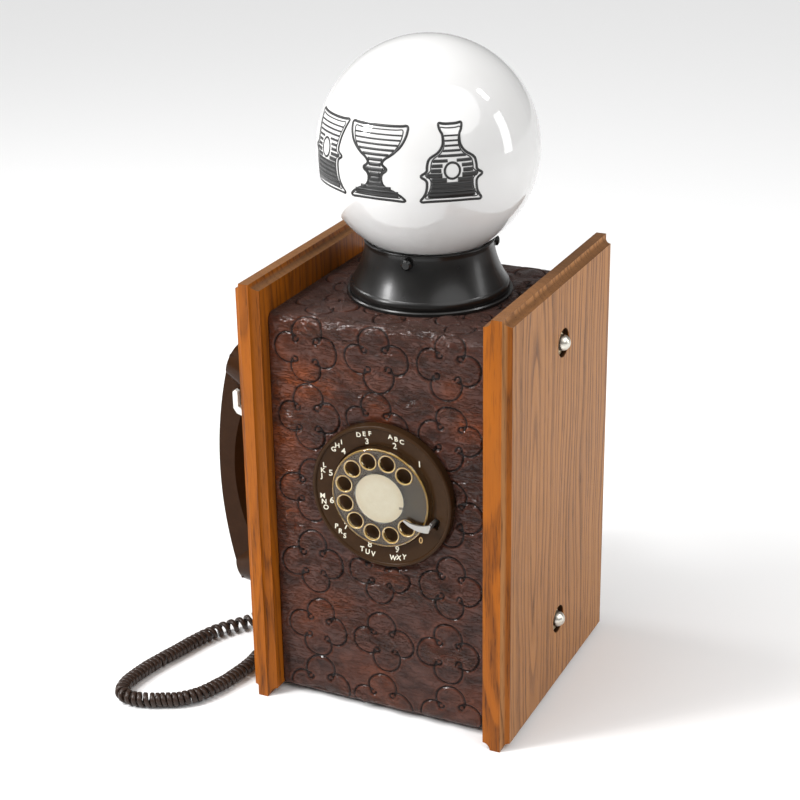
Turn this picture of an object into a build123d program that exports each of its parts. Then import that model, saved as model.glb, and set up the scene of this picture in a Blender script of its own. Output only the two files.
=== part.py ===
from build123d import *
import math
import os

# Rotary telephone bar lamp: an oak and leather cabinet with a dial on its front, a handset hung on
# its left side and an opal globe lamp on top.  Millimetres, +Z up, the dial faces -Y.
# The pieces are drawn in the cabinet's own coordinates: x across from its mid-plane, y back from
# the front edges of the side panels, z up from the floor.  CAB_X and CAB_Y move that corner so
# that the origin of the model is at the bottom centre of the object's box.

os.makedirs("parts", exist_ok=True)

# ---- driving dimensions -------------------------------------------------------------------------
PANEL_W, PANEL_D, PANEL_H = 211.0, 208.0, 334.0    # outside of the two side panels
PANEL_T = 19.0                                     # oak thickness
COVE_R = 5.6                                       # routed cove on every arris of a panel
HALF_GAP = PANEL_W / 2 - PANEL_T                   # cabinet mid-plane to a panel's inner face
OUTER_X = PANEL_W / 2

BODY_Y0, BODY_Y1 = 15.5, 184.5                     # leather box, front and back
BODY_Z0, BODY_Z1 = 3.0, 309.5                      # leather box, bottom and top
LEATHER_T = 3.0
BODY_R = 7.0                                       # rounding of the leather's long edges
BOARD_T = 12.0
BOARD_HALF = HALF_GAP - 0.2
COVER_T = 6.0

ROD_Y, ROD_Z = PANEL_D / 2, (58.7, 283.5)          # tie rods through both panels
ROD_R, CBORE_R, CBORE_DEPTH = 3.0, 10.8, 4.0
NUT_R, NUT_PROUD = 6.0, 5.0

DIAL_X, DIAL_Z = 4.0, 184.0                        # dial axis
PLATE_R, WHEEL_R = 55.0, 38.0
FINGER_HOLES, HOLE_R, HOLE_PITCH_R = 10, 5.8, 28.7
FIRST_HOLE_DEG, HOLE_STEP_DEG = 47.0, 30.0         # digit 1, then counter-clockwise
CARD_R = 18.6
BOARD_HOLE_R = 44.0
SHAFT_R, RUNNING = 3.0, 0.05
GEAR_TEETH, PINION_TEETH, GEAR_MODULE = 48, 10, 1.0
GOVERNOR_DEG = 60.0                                # place of the governor round the dial axis

HANDSET_Y, HANDSET_Z = 95.0, 146.0                 # middle of the handset on the left panel
BACK_P, BACK_R = 67.5, 334.0                       # how far its back stands out, and its bow
GRIP_P, GRIP_R = 48.5, 138.0                       # the arch on the finger side
GRIP_W = 27.0
EAR_Z, EAR_R = 223.5, 26.5
MOUTH_Z, MOUTH_R = 68.5, 27.5
CAP_P = 7.0                                        # cap faces stand off the panel
CAP_T, CAP_SKIRT_P = 2.5, 14.0
CUP_DRUM_P, CUP_FLOOR_P = 23.0, 22.0               # straight wall and chamber floor of a cup
CORD_R = 5.75                                      # outside of the curly cord
CORD_P = 36.0                                      # where the cord leaves the handset
BUSH_Y, BUSH_Z, BUSH_NECK_R, BUSH_P = 74.0, 20.0, 7.0, 3.5   # where it enters the cabinet

FORK_Y = 17.0                                      # hook arms either side of the handle
HOOK_X, HOOK_Z = -80.0, 189.0                      # hook pivot, inside the left panel
HOOK_PIN_R = 1.5

LAMP_Y = 106.0
GLOBE_R, GLOBE_Z, GLASS_T = 80.0, 416.3, 3.0
FITTER_BASE_R, FITTER_TOP_R, FITTER_TOP_Z = 60.8, 47.0, 350.0
SHEET = 1.2

RINGER_Y, GONG_X, GONG_R = 110.0, 24.5, 20.0

CAB_X = (BACK_P - NUT_PROUD) / 2                   # the handset is on one side only
CAB_Y = -PANEL_D / 2

# ---- planes in the cabinet's coordinates ---------------------------------------------------------
ORIGIN = (CAB_X, CAB_Y, 0)
FLOOR = Plane(ORIGIN)
FRONT = Plane(ORIGIN, x_dir=(1, 0, 0), z_dir=(0, -1, 0))
SIDE = Plane(ORIGIN, x_dir=(0, 1, 0), z_dir=(1, 0, 0))


def level(z):
    """Horizontal plane at height z; sketches are (x, y), extrudes go up."""
    return FLOOR.offset(z)


def depth(y):
    """Upright plane at depth y; sketches are (x, z), extrudes go to the front."""
    return FRONT.offset(-y)


def across(x):
    """Upright plane at width x; sketches are (y, z), extrudes go to the right."""
    return SIDE.offset(x)


def at(x, y, z):
    """A point of the cabinet in model coordinates."""
    return (CAB_X + x, CAB_Y + y, z)


def out(p):
    """Plane parallel to the left panel, p outside it; sketches are (-y, z) about the handset."""
    return Plane(at(-OUTER_X - p, HANDSET_Y, 0), x_dir=(0, -1, 0), z_dir=(-1, 0, 0))


DIAL_AXIS = Axis(at(DIAL_X, 0, DIAL_Z), (0, 1, 0))
DIAL_SECTION = Plane(at(DIAL_X, 0, DIAL_Z), x_dir=(1, 0, 0), z_dir=(0, 0, 1))      # (radius, y)
LAMP_AXIS = Axis(at(0, LAMP_Y, 0), (0, 0, 1))
LAMP_SECTION = Plane(at(0, LAMP_Y, 0), x_dir=(1, 0, 0), z_dir=(0, -1, 0))          # (radius, z)
HANDSET_SECTION = Plane(at(-OUTER_X, HANDSET_Y, 0), x_dir=(-1, 0, 0), z_dir=(0, 1, 0))  # (p, z)


def write(piece, name):
    piece.part.label = name
    export_step(piece.part, f"parts/{name}.step")


def polar(radius, degrees):
    """Offset from the dial axis, in (x, z)."""
    angle = math.radians(degrees)
    return (radius * math.cos(angle), radius * math.sin(angle))


def dial_point(radius, degrees):
    dx, dz = polar(radius, degrees)
    return (DIAL_X + dx, DIAL_Z + dz)


# ---- cabinet -------------------------------------------------------------------------------------
def side_panel(outer_x, inner_x, left):
    """Oak panel with coved arrises, counterbored for the tie rods."""
    outward = 1 if outer_x > inner_x else -1
    with BuildPart() as panel:
        with BuildSketch(across(min(outer_x, inner_x))):
            with Locations((PANEL_D / 2, PANEL_H / 2)):
                Rectangle(PANEL_D, PANEL_H)
        extrude(amount=PANEL_T)
        with BuildSketch(depth(PANEL_D + 1)):
            with Locations(*[(x, z) for x in (outer_x, inner_x) for z in (0, PANEL_H)]):
                Circle(COVE_R)
        extrude(amount=PANEL_D + 2, mode=Mode.SUBTRACT)
        with BuildSketch(level(-1)):
            with Locations(*[(x, y) for x in (outer_x, inner_x) for y in (0, PANEL_D)]):
                Circle(COVE_R)
        extrude(amount=PANEL_H + 2, mode=Mode.SUBTRACT)
        with BuildSketch(across(outer_x)):
            with Locations(*[(ROD_Y, z) for z in ROD_Z]):
                Circle(CBORE_R)
        extrude(amount=-outward * CBORE_DEPTH, mode=Mode.SUBTRACT)
        with BuildSketch(across(outer_x)):
            with Locations(*[(ROD_Y, z) for z in ROD_Z]):
                Circle(ROD_R + 0.2)
            if left:
                with Locations((HANDSET_Y, HOOK_Z + 2.5)):
                    Rectangle(15, 15)
                with Locations((BUSH_Y, BUSH_Z)):
                    Circle(BUSH_NECK_R)
        extrude(amount=-outward * PANEL_T, mode=Mode.SUBTRACT)
    return panel


write(side_panel(-OUTER_X, -HALF_GAP, True), "side_panel_left")
write(side_panel(OUTER_X, HALF_GAP, False), "side_panel_right")

BOARD_Y0 = BODY_Y0 + LEATHER_T
BOARD_Y1 = BODY_Y1 - LEATHER_T
BOARD_Z0 = BODY_Z0 + LEATHER_T
BOARD_Z1 = BODY_Z1 - LEATHER_T
INSIDE_Y0 = BOARD_Y0 + BOARD_T
INSIDE_Y1 = BOARD_Y1 - COVER_T
INSIDE_Z0 = BOARD_Z0 + BOARD_T
INSIDE_Z1 = BOARD_Z1 - BOARD_T
DIAL_SCREW_R, DIAL_SCREW_DEG = 47.5, (90, 210, 330)
NIPPLE_R = 5.0

with BuildPart() as front_board:
    with BuildSketch(depth(INSIDE_Y0)):
        with Locations((0, (BOARD_Z0 + BOARD_Z1) / 2)):
            Rectangle(2 * BOARD_HALF, BOARD_Z1 - BOARD_Z0)
        with Locations((DIAL_X, DIAL_Z)):
            Circle(BOARD_HOLE_R, mode=Mode.SUBTRACT)
        with Locations(*[dial_point(DIAL_SCREW_R, a) for a in DIAL_SCREW_DEG]):
            Circle(1.7, mode=Mode.SUBTRACT)
    extrude(amount=BOARD_T)
    fillet(front_board.edges().filter_by(Axis.X).group_by(Axis.Y)[0], BODY_R - LEATHER_T)
write(front_board, "front_board")


def flat_board(z, hole_r):
    """Top or bottom board between the front board and the back cover."""
    with BuildPart() as board:
        with BuildSketch(level(z)):
            with Locations((0, (INSIDE_Y0 + INSIDE_Y1) / 2)):
                Rectangle(2 * BOARD_HALF, INSIDE_Y1 - INSIDE_Y0)
            if hole_r:
                with Locations((0, LAMP_Y)):
                    Circle(hole_r, mode=Mode.SUBTRACT)
        extrude(amount=BOARD_T)
    return board


write(flat_board(INSIDE_Z1, NIPPLE_R + 0.3), "top_board")
write(flat_board(BOARD_Z0, 0), "bottom_board")

GROMMET_X, GROMMET_Z, GROMMET_NECK_R = 40.0, 40.0, 6.0
COVER_SCREWS = [(x, z) for x in (-80.0, 80.0) for z in (34.0, 278.0)]

with BuildPart() as back_cover:
    with BuildSketch(depth(BOARD_Y1)):
        with Locations((0, (BOARD_Z0 + BOARD_Z1) / 2)):
            Rectangle(2 * BOARD_HALF, BOARD_Z1 - BOARD_Z0)
        with Locations((-GROMMET_X, GROMMET_Z), (GROMMET_X, GROMMET_Z)):
            Circle(GROMMET_NECK_R, mode=Mode.SUBTRACT)
        with Locations(*COVER_SCREWS):
            Circle(1.7, mode=Mode.SUBTRACT)
    extrude(amount=COVER_T)
    fillet(back_cover.edges().filter_by(Axis.X).group_by(Axis.Y)[-1], BODY_R - LEATHER_T)
write(back_cover, "back_cover")

with BuildPart() as back_battens:
    with BuildSketch(depth(INSIDE_Y1)):
        with Locations((-80, (INSIDE_Z0 + INSIDE_Z1) / 2), (80, (INSIDE_Z0 + INSIDE_Z1) / 2)):
            Rectangle(12, INSIDE_Z1 - INSIDE_Z0)
        with Locations(*COVER_SCREWS):
            Circle(1.7, mode=Mode.SUBTRACT)
    extrude(amount=12)
write(back_battens, "back_battens")

with BuildPart() as back_cover_screws:
    with BuildSketch(depth(INSIDE_Y1 - 9)):
        with Locations(*COVER_SCREWS):
            Circle(1.6)
    extrude(amount=-(COVER_T + 9))
    with BuildSketch(depth(BOARD_Y1)):
        with Locations(*COVER_SCREWS):
            Circle(3.6)
    extrude(amount=-2.2)
    fillet(back_cover_screws.faces().group_by(Axis.Y)[-1].edges(), 1.2)
    with BuildSketch(depth(BOARD_Y1 + 2.2)):
        with Locations(*COVER_SCREWS):
            Rectangle(5.0, 0.9)
    extrude(amount=1.0, mode=Mode.SUBTRACT)
write(back_cover_screws, "back_cover_screws")

RETURN_W = 14.0                                    # leather turned over onto the back
with BuildPart() as leather_cover:
    mid_y, mid_z = (BODY_Y0 + BODY_Y1) / 2, (BODY_Z0 + BODY_Z1) / 2
    deep, tall = BODY_Y1 - BODY_Y0, BODY_Z1 - BODY_Z0
    with BuildSketch(across(-BOARD_HALF)):
        with Locations((mid_y, mid_z)):
            RectangleRounded(deep, tall, BODY_R)
            RectangleRounded(deep - 2 * LEATHER_T, tall - 2 * LEATHER_T, BODY_R - LEATHER_T,
                             mode=Mode.SUBTRACT)
    extrude(amount=2 * BOARD_HALF)
    with BuildSketch(depth(BODY_Y1 + 1)):
        with Locations((0, mid_z)):
            Rectangle(2 * BOARD_HALF + 2, tall - 2 * RETURN_W)
    extrude(amount=1 + LEATHER_T + 0.1, mode=Mode.SUBTRACT)
    with BuildSketch(depth(BOARD_Y0 + 0.1)):
        with Locations((DIAL_X, DIAL_Z)):
            Circle(BOARD_HOLE_R + 1)
    extrude(amount=LEATHER_T + 1, mode=Mode.SUBTRACT)
    with BuildSketch(level(BOARD_Z1 - 0.1)):
        with Locations((0, LAMP_Y)):
            Circle(NIPPLE_R + 1)
    extrude(amount=LEATHER_T + 1, mode=Mode.SUBTRACT)
write(leather_cover, "leather_cover")

ROD_POINTS = [(ROD_Y, z) for z in ROD_Z]
SEAT_X = OUTER_X - CBORE_DEPTH                     # floor of a counterbore
WASHER_T = 1.2
with BuildPart() as tie_rods:
    with BuildSketch(across(-OUTER_X + 1.5)):
        with Locations(*ROD_POINTS):
            Circle(ROD_R)
    extrude(amount=2 * OUTER_X - 3)
write(tie_rods, "tie_rods")

NUT_SKIRT = OUTER_X + NUT_PROUD - SEAT_X - WASHER_T - NUT_R     # straight wall under the dome
UPRIGHT = (Align.CENTER, Align.CENTER, Align.MIN)
with BuildPart() as cap_nuts:
    for side in (-1, 1):
        for y, z in ROD_POINTS:
            seat = Plane(at(side * (SEAT_X + WASHER_T), y, z), x_dir=(0, 1, 0), z_dir=(side, 0, 0))
            with Locations(seat):
                Cylinder(NUT_R, NUT_SKIRT, align=UPRIGHT)
            with Locations(seat.offset(NUT_SKIRT)):
                Sphere(NUT_R, arc_size1=0, arc_size2=90, align=UPRIGHT)
            with Locations(seat):
                Cylinder(ROD_R + 0.05, NUT_SKIRT, align=UPRIGHT, mode=Mode.SUBTRACT)
write(cap_nuts, "cap_nuts")

with BuildPart() as eared_washers:
    for side in (-1, 1):
        with BuildSketch(across(side * SEAT_X)):
            with Locations(*ROD_POINTS):
                Circle(7.2)
                with Locations((0, 7.2), (0, -7.2)):
                    RectangleRounded(6.0, 4.0, 1.0)
            with Locations(*ROD_POINTS):
                Circle(ROD_R + 0.1, mode=Mode.SUBTRACT)
        extrude(amount=side * WASHER_T)
write(eared_washers, "eared_washers")


# ---- dial ----------------------------------------------------------------------------------------
def turned(points, name, section, axis):
    """A piece turned from a closed outline of (radius, length) points."""
    with BuildPart() as piece:
        with BuildSketch(section):
            with BuildLine():
                Polyline(*points, close=True)
            make_face()
        revolve(axis=axis)
    piece.part.label = name
    return piece


WELL_Y, PLATE_T = 12.5, 2.1
STOP_DEG, SLOT_R0, SLOT_R1, SLOT_W = -18.5, 41.8, 47.2, 8.4     # slot for the finger stop's foot
with BuildPart() as number_plate:
    with BuildSketch(DIAL_SECTION):
        with BuildLine():
            Polyline((55.0, 9.4), (55.0, 15.5), (52.6, 15.5), (52.2, 12.2), (40.2, WELL_Y + PLATE_T),
                     (SHAFT_R + 5, WELL_Y + PLATE_T), (SHAFT_R + 5, WELL_Y), (38.6, WELL_Y),
                     (39.4, 11.4), (51.8, 9.4))
            ThreePointArc((51.8, 9.4), (53.4, 8.0), (55.0, 9.4))
        make_face()
    revolve(axis=DIAL_AXIS)
    with BuildSketch(depth(WELL_Y + PLATE_T + 1)):
        with Locations(dial_point((SLOT_R0 + SLOT_R1) / 2, STOP_DEG)):
            RectangleRounded(SLOT_R1 - SLOT_R0, SLOT_W, 0.8, rotation=STOP_DEG)
    extrude(amount=8, mode=Mode.SUBTRACT)
write(number_plate, "number_plate")

WHEEL_Y0, WHEEL_Y1 = 6.0, 8.6
HOLE_POINTS = [dial_point(HOLE_PITCH_R, FIRST_HOLE_DEG + n * HOLE_STEP_DEG) for n in range(FINGER_HOLES)]
with BuildPart() as finger_wheel:
    with BuildSketch(DIAL_SECTION):
        with BuildLine():
            Polyline((SHAFT_R, WHEEL_Y0 + 0.8), (19.9, WHEEL_Y0 + 0.8), (19.9, WHEEL_Y0),
                     (WHEEL_R - 1.2, WHEEL_Y0))
            ThreePointArc((WHEEL_R - 1.2, WHEEL_Y0), (WHEEL_R, 7.3), (WHEEL_R - 1.2, WHEEL_Y1))
            Polyline((WHEEL_R - 1.2, WHEEL_Y1), (7.0, WHEEL_Y1), (7.0, 11.5), (SHAFT_R, 11.5),
                     (SHAFT_R, WHEEL_Y0 + 0.8))
        make_face()
    revolve(axis=DIAL_AXIS)
    with BuildSketch(depth(WHEEL_Y1 + 0.5)):
        with Locations(*HOLE_POINTS):
            Circle(HOLE_R)
    extrude(amount=WHEEL_Y1 - WHEEL_Y0 + 1, mode=Mode.SUBTRACT)
    rims = finger_wheel.edges().filter_by(GeomType.CIRCLE).filter_by(lambda e: abs(e.radius - HOLE_R) < 0.01)
    fillet(rims.group_by(Axis.Y)[0], 0.8)
write(finger_wheel, "finger_wheel")

with BuildPart() as number_card:
    with BuildSketch(depth(WHEEL_Y0 + 0.75)):
        with Locations((DIAL_X, DIAL_Z)):
            Circle(CARD_R)
    extrude(amount=0.5)
write(number_card, "number_card")

with BuildPart() as card_window:
    with BuildSketch(DIAL_SECTION):
        with BuildLine():
            Polyline((0, 5.2), (0, 6.1), (19.0, 6.1), (19.0, 6.6), (19.7, 6.6), (19.7, 5.9),
                     (18.4, 5.2), close=True)
        make_face()
    revolve(axis=DIAL_AXIS)
write(card_window, "card_window")

STOP_TOP = (20.9, -11.2), (29.8, -13.8), (42.0, -11.0)         # upper edge, from tip to foot
STOP_UNDER = (39.8, -18.2), (29.0, -17.6), (20.3, -12.7)       # lower edge, from foot to tip
FOOT_T, FOOT_W, STOP_Y0, STOP_T = 1.6, 5.6, 2.4, 1.4
with BuildPart() as finger_stop:
    with BuildSketch(Plane(at(DIAL_X, STOP_Y0 + STOP_T, DIAL_Z), x_dir=(1, 0, 0), z_dir=(0, -1, 0))):
        with BuildLine():
            ThreePointArc(*STOP_TOP)
            Line(STOP_TOP[-1], STOP_UNDER[0])
            ThreePointArc(*STOP_UNDER)
            Line(STOP_UNDER[-1], STOP_TOP[0])
        make_face()
    extrude(amount=STOP_T)
    fillet(finger_stop.edges().filter_by(Axis.Y).sort_by(Axis.X)[-2:], 0.8)
    with BuildSketch(depth(WELL_Y + PLATE_T - 0.2)):
        with Locations(dial_point(SLOT_R0 + FOOT_T / 2 + 0.1, STOP_DEG)):
            Rectangle(FOOT_T, FOOT_W, rotation=STOP_DEG)
    extrude(amount=WELL_Y + PLATE_T - 0.2 - STOP_Y0 - STOP_T)
write(finger_stop, "finger_stop")


def gear_outline(teeth, centre, turn_deg):
    """Straight-sided gear: a root disc with one tapered tooth per pitch."""
    pitch_r = teeth * GEAR_MODULE / 2
    with BuildSketch(Plane.XY) as outline:
        Circle(pitch_r - 1.1 * GEAR_MODULE)
        with PolarLocations(0, teeth, start_angle=turn_deg):
            with BuildLine():
                Polyline((pitch_r - 1.3 * GEAR_MODULE, -0.85), (pitch_r + 0.8 * GEAR_MODULE, -0.3),
                         (pitch_r + 0.8 * GEAR_MODULE, 0.3), (pitch_r - 1.3 * GEAR_MODULE, 0.85),
                         close=True)
            make_face()
    return outline.sketch.moved(Location((centre[0], centre[1], 0)))


def gear(teeth, centre, turn_deg, y_back, width, bore_r):
    with BuildPart() as wheel:
        with BuildSketch(depth(y_back)):
            add(gear_outline(teeth, centre, turn_deg))
            with Locations(centre):
                Circle(bore_r, mode=Mode.SUBTRACT)
        extrude(amount=width)
    return wheel


CENTRE_DISTANCE = (GEAR_TEETH + PINION_TEETH) * GEAR_MODULE / 2
GOVERNOR = dial_point(CENTRE_DISTANCE, GOVERNOR_DEG)
FRAME_Y0, FRAME_Y1 = 17.0, 19.0
MOUNT_Y0, MOUNT_Y1 = INSIDE_Y0, INSIDE_Y0 + 2.0
POST_DEG = (0, 130, 240)

with BuildPart() as dial_frame:
    with BuildSketch(depth(FRAME_Y1)):
        with Locations((DIAL_X, DIAL_Z)):
            Circle(BOARD_HOLE_R - 0.6)
            Circle(SHAFT_R + RUNNING, mode=Mode.SUBTRACT)
        with Locations(GOVERNOR):
            Circle(1.2 + RUNNING, mode=Mode.SUBTRACT)
    extrude(amount=FRAME_Y1 - FRAME_Y0)
    with BuildSketch(depth(MOUNT_Y0)):
        with Locations(*[dial_point(37.5, a) for a in POST_DEG]):
            Circle(3.0)
    extrude(amount=MOUNT_Y0 - FRAME_Y1)
    with BuildSketch(depth(FRAME_Y0)):
        with Locations((DIAL_X, DIAL_Z)):
            Circle(20.0)
            Circle(18.0, mode=Mode.SUBTRACT)
    extrude(amount=FRAME_Y0 - WELL_Y - PLATE_T)
write(dial_frame, "dial_frame")

with BuildPart() as dial_mount_plate:
    with BuildSketch(depth(MOUNT_Y1)):
        with Locations((DIAL_X, DIAL_Z)):
            Circle(52.0)
            Circle(SHAFT_R + RUNNING, mode=Mode.SUBTRACT)
        with Locations(GOVERNOR):
            Circle(1.2 + RUNNING, mode=Mode.SUBTRACT)
        with Locations(*[dial_point(DIAL_SCREW_R, a) for a in DIAL_SCREW_DEG]):
            Circle(1.9, mode=Mode.SUBTRACT)
    extrude(amount=MOUNT_Y1 - MOUNT_Y0)
write(dial_mount_plate, "dial_mount_plate")

with BuildPart() as dial_screws:
    with BuildSketch(depth(MOUNT_Y1)):
        with Locations(*[dial_point(DIAL_SCREW_R, a) for a in DIAL_SCREW_DEG]):
            Circle(1.6)
    extrude(amount=9)
    with BuildSketch(depth(MOUNT_Y1 + 2)):
        with Locations(*[dial_point(DIAL_SCREW_R, a) for a in DIAL_SCREW_DEG]):
            Circle(3.4)
    extrude(amount=2)
write(dial_screws, "dial_screws")

with BuildPart() as dial_shaft:
    with BuildSketch(depth(MOUNT_Y1 + 3)):
        with Locations((DIAL_X, DIAL_Z)):
            Circle(SHAFT_R)
    extrude(amount=MOUNT_Y1 + 3 - (WHEEL_Y0 + 0.9))
write(dial_shaft, "dial_shaft")

write(gear(GEAR_TEETH, (DIAL_X, DIAL_Z), GOVERNOR_DEG, 24.0, 2.0, SHAFT_R), "main_gear")

with BuildPart() as mainspring:
    with BuildLine() as coil:
        Helix(1.1, 4.4, 7.0, center=at(DIAL_X, 25.4, DIAL_Z), direction=(0, 1, 0))
    with BuildSketch(Plane(coil.line @ 0, z_dir=coil.line % 0)):
        Circle(0.4)
    sweep(is_frenet=True)
write(mainspring, "mainspring")

PINION_TURN = GOVERNOR_DEG + 180 + 180 / PINION_TEETH
with BuildPart() as governor_spindle:
    with BuildSketch(depth(24.4)):
        add(gear_outline(PINION_TEETH, GOVERNOR, PINION_TURN))
    extrude(amount=2.8)
    with BuildSketch(depth(MOUNT_Y1 + 1)):
        with Locations(GOVERNOR):
            Circle(1.2)
    extrude(amount=MOUNT_Y1 + 1 - FRAME_Y0)
write(governor_spindle, "governor_spindle")

with BuildPart() as governor_weights:
    with BuildSketch(depth(29.4)):
        with Locations(GOVERNOR):
            Rectangle(13.0, 3.4)
            with Locations((-6.5, 0), (6.5, 0)):
                Circle(2.6)
            Circle(1.2, mode=Mode.SUBTRACT)
    extrude(amount=2.6)
write(governor_weights, "governor_weights")

with BuildPart() as governor_cup:
    with BuildSketch(depth(MOUNT_Y0)):
        with Locations(GOVERNOR):
            Circle(11.8)
            Circle(10.4, mode=Mode.SUBTRACT)
    extrude(amount=4.5)
write(governor_cup, "governor_cup")

with BuildPart() as pulse_contacts:
    with BuildSketch(depth(MOUNT_Y0)):
        with Locations(dial_point(34.0, 185)):
            Rectangle(8, 14)
    extrude(amount=9.5)
    with BuildSketch(depth(MOUNT_Y0 - 3)):
        with Locations(dial_point(34.0, 185)):
            with GridLocations(0, 4, 1, 3):
                Rectangle(12, 0.5)
    extrude(amount=4)
write(pulse_contacts, "pulse_contacts")

# ---- handset -------------------------------------------------------------------------------------
HANDSET_TOP = HANDSET_Z + 104.0
HANDSET_END = HANDSET_Z - 104.0


def bow(radius, apex, dz):
    """Stand-off of an arc of this radius, dz away from its apex."""
    return apex - (radius - math.sqrt(radius**2 - dz**2))


def cup(centre_z, radius, small_z):
    """Cup: a short drum at the cap, then a taper to the back of the handle."""
    with BuildPart() as body:
        with BuildSketch(out(CAP_SKIRT_P + 0.2)):
            with Locations((0, centre_z)):
                Circle(radius)
        extrude(amount=CUP_DRUM_P - CAP_SKIRT_P - 0.2)
        with BuildSketch(out(CUP_DRUM_P)):
            with Locations((0, centre_z)):
                Circle(radius)
        with BuildSketch(out(BACK_P)):
            with Locations((0, small_z)):
                Circle(11.0)
        loft()
    return body.part


with BuildPart() as handset_handle:
    with BuildSketch(HANDSET_SECTION):
        with BuildLine():
            half = 97.0
            ThreePointArc((bow(BACK_R, BACK_P, half), HANDSET_Z + half), (BACK_P, HANDSET_Z),
                          (bow(BACK_R, BACK_P, half), HANDSET_Z - half))
            Line((bow(BACK_R, BACK_P, half), HANDSET_Z - half), (30.0, HANDSET_Z - 92))
            Line((30.0, HANDSET_Z - 92), (bow(GRIP_R, GRIP_P, 68), HANDSET_Z - 68))
            ThreePointArc((bow(GRIP_R, GRIP_P, 68), HANDSET_Z - 68), (GRIP_P, HANDSET_Z),
                          (bow(GRIP_R, GRIP_P, 68), HANDSET_Z + 68))
            Line((bow(GRIP_R, GRIP_P, 68), HANDSET_Z + 68), (30.0, HANDSET_Z + 92))
            Line((30.0, HANDSET_Z + 92), (bow(BACK_R, BACK_P, half), HANDSET_Z + half))
        make_face()
    extrude(amount=GRIP_W / 2, both=True)
    grip_arcs = handset_handle.edges().filter_by(GeomType.CIRCLE)
    chamfer(grip_arcs.filter_by(lambda e: abs(e.radius - GRIP_R) < 1), length=8.0, length2=5.5)
    add(cup(EAR_Z, EAR_R, HANDSET_TOP - 14))
    add(cup(MOUTH_Z, MOUTH_R, HANDSET_END + 14))
    with BuildSketch(HANDSET_SECTION):                       # trim the cups to the bowed back
        with Locations((BACK_P - BACK_R, HANDSET_Z)):
            Circle(BACK_R)
    extrude(amount=40, both=True, mode=Mode.INTERSECT)
    for centre_z, radius in ((EAR_Z, EAR_R), (MOUTH_Z, MOUTH_R)):
        with BuildSketch(out(CAP_P + CAP_T + 0.3)):
            with Locations((0, centre_z)):
                Circle(radius - 2.6)
        extrude(amount=CAP_SKIRT_P + 0.4 - CAP_P - CAP_T - 0.3)
        with BuildSketch(out(CAP_P)):
            with Locations((0, centre_z)):
                Circle(radius - 4.6)
        extrude(amount=CUP_FLOOR_P - CAP_P, mode=Mode.SUBTRACT)
write(handset_handle, "handset_handle")


def cap(centre_z, radius, rings):
    """Screw-on cap with sound holes: (radius, count) rings."""
    with BuildPart() as piece:
        with BuildSketch(out(CAP_P)):
            with Locations((0, centre_z)):
                Circle(radius)
        extrude(amount=CAP_SKIRT_P - CAP_P)
        fillet(piece.edges().group_by(Axis.X)[-1], 1.8)
        with BuildSketch(out(CAP_P + CAP_T)):
            with Locations((0, centre_z)):
                Circle(radius - 2.5)
        extrude(amount=CAP_SKIRT_P, mode=Mode.SUBTRACT)
        with BuildSketch(out(CAP_P - 1)):
            with Locations((0, centre_z)):
                Circle(1.2)
                for ring_r, count in rings:
                    with PolarLocations(ring_r, count):
                        Circle(1.2)
        extrude(amount=CAP_T + 2, mode=Mode.SUBTRACT)
    return piece


write(cap(EAR_Z, EAR_R, [(7, 6)]), "ear_cap")
write(cap(MOUTH_Z, MOUTH_R, [(5, 6), (10, 12), (15, 18)]), "mouth_cap")


def capsule(centre_z, radius, thick):
    with BuildPart() as piece:
        with BuildSketch(out(CAP_P + CAP_T + 0.4)):
            with Locations((0, centre_z)):
                Circle(radius - 5.0)
        extrude(amount=thick)
        with BuildSketch(out(CAP_P + CAP_T + 0.4 + thick)):
            with Locations((0, centre_z)):
                Circle(radius - 12.0)
        extrude(amount=3)
        fillet(piece.edges().group_by(Axis.X)[-1], 1.0)
    return piece


write(capsule(EAR_Z, EAR_R, 8), "receiver_capsule")
write(capsule(MOUTH_Z, MOUTH_R, 7), "transmitter_capsule")

CORD_TOP_Z = HANDSET_END - 7.0
with BuildPart() as handset_cord_bush:
    with BuildSketch(Plane(at(-OUTER_X - CORD_P, HANDSET_Y, 0)).offset(CORD_TOP_Z)):
        Circle(4.6)
    with BuildSketch(Plane(at(-OUTER_X - CORD_P, HANDSET_Y, 0)).offset(CORD_TOP_Z + 10)):
        Circle(5.6)
    loft()
    add(handset_handle.part, mode=Mode.SUBTRACT)
write(handset_cord_bush, "handset_cord_bush")

# ---- curly cord ----------------------------------------------------------------------------------
# Outside of the coiled cord, from the handset's bush down to the floor, out to the left in one
# long loop and back along the panel to the bush near its foot.
LIE_Z = CORD_R + 0.35
CORD_ROUTE = [
    (-OUTER_X - CORD_P, HANDSET_Y, CORD_TOP_Z - 0.3),
    (-OUTER_X - CORD_P, HANDSET_Y, CORD_TOP_Z - 11),
    (-146.5, 92.0, 12.5),
    (-158.0, 85.5, LIE_Z),
    (-172.0, 68.0, LIE_Z),
    (-181.5, 44.0, LIE_Z),
    (-188.5, 16.0, LIE_Z),
    (-194.6, -6.0, LIE_Z),
    (-196.8, -25.0, LIE_Z),
    (-196.8, -42.0, LIE_Z),
    (-191.4, -50.2, LIE_Z),
    (-182.0, -53.0, LIE_Z),
    (-166.5, -48.5, LIE_Z),
    (-150.0, -41.0, LIE_Z),
    (-137.5, -30.5, LIE_Z),
    (-128.5, -7.5, LIE_Z),
    (-122.5, 22.0, LIE_Z),
    (-123.0, 45.0, LIE_Z + 1.5),
    (-121.5, 61.0, LIE_Z + 7.0),
    (-117.5, 71.0, LIE_Z + 12.0),
    (-OUTER_X - BUSH_P, BUSH_Y, BUSH_Z),
]


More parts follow.
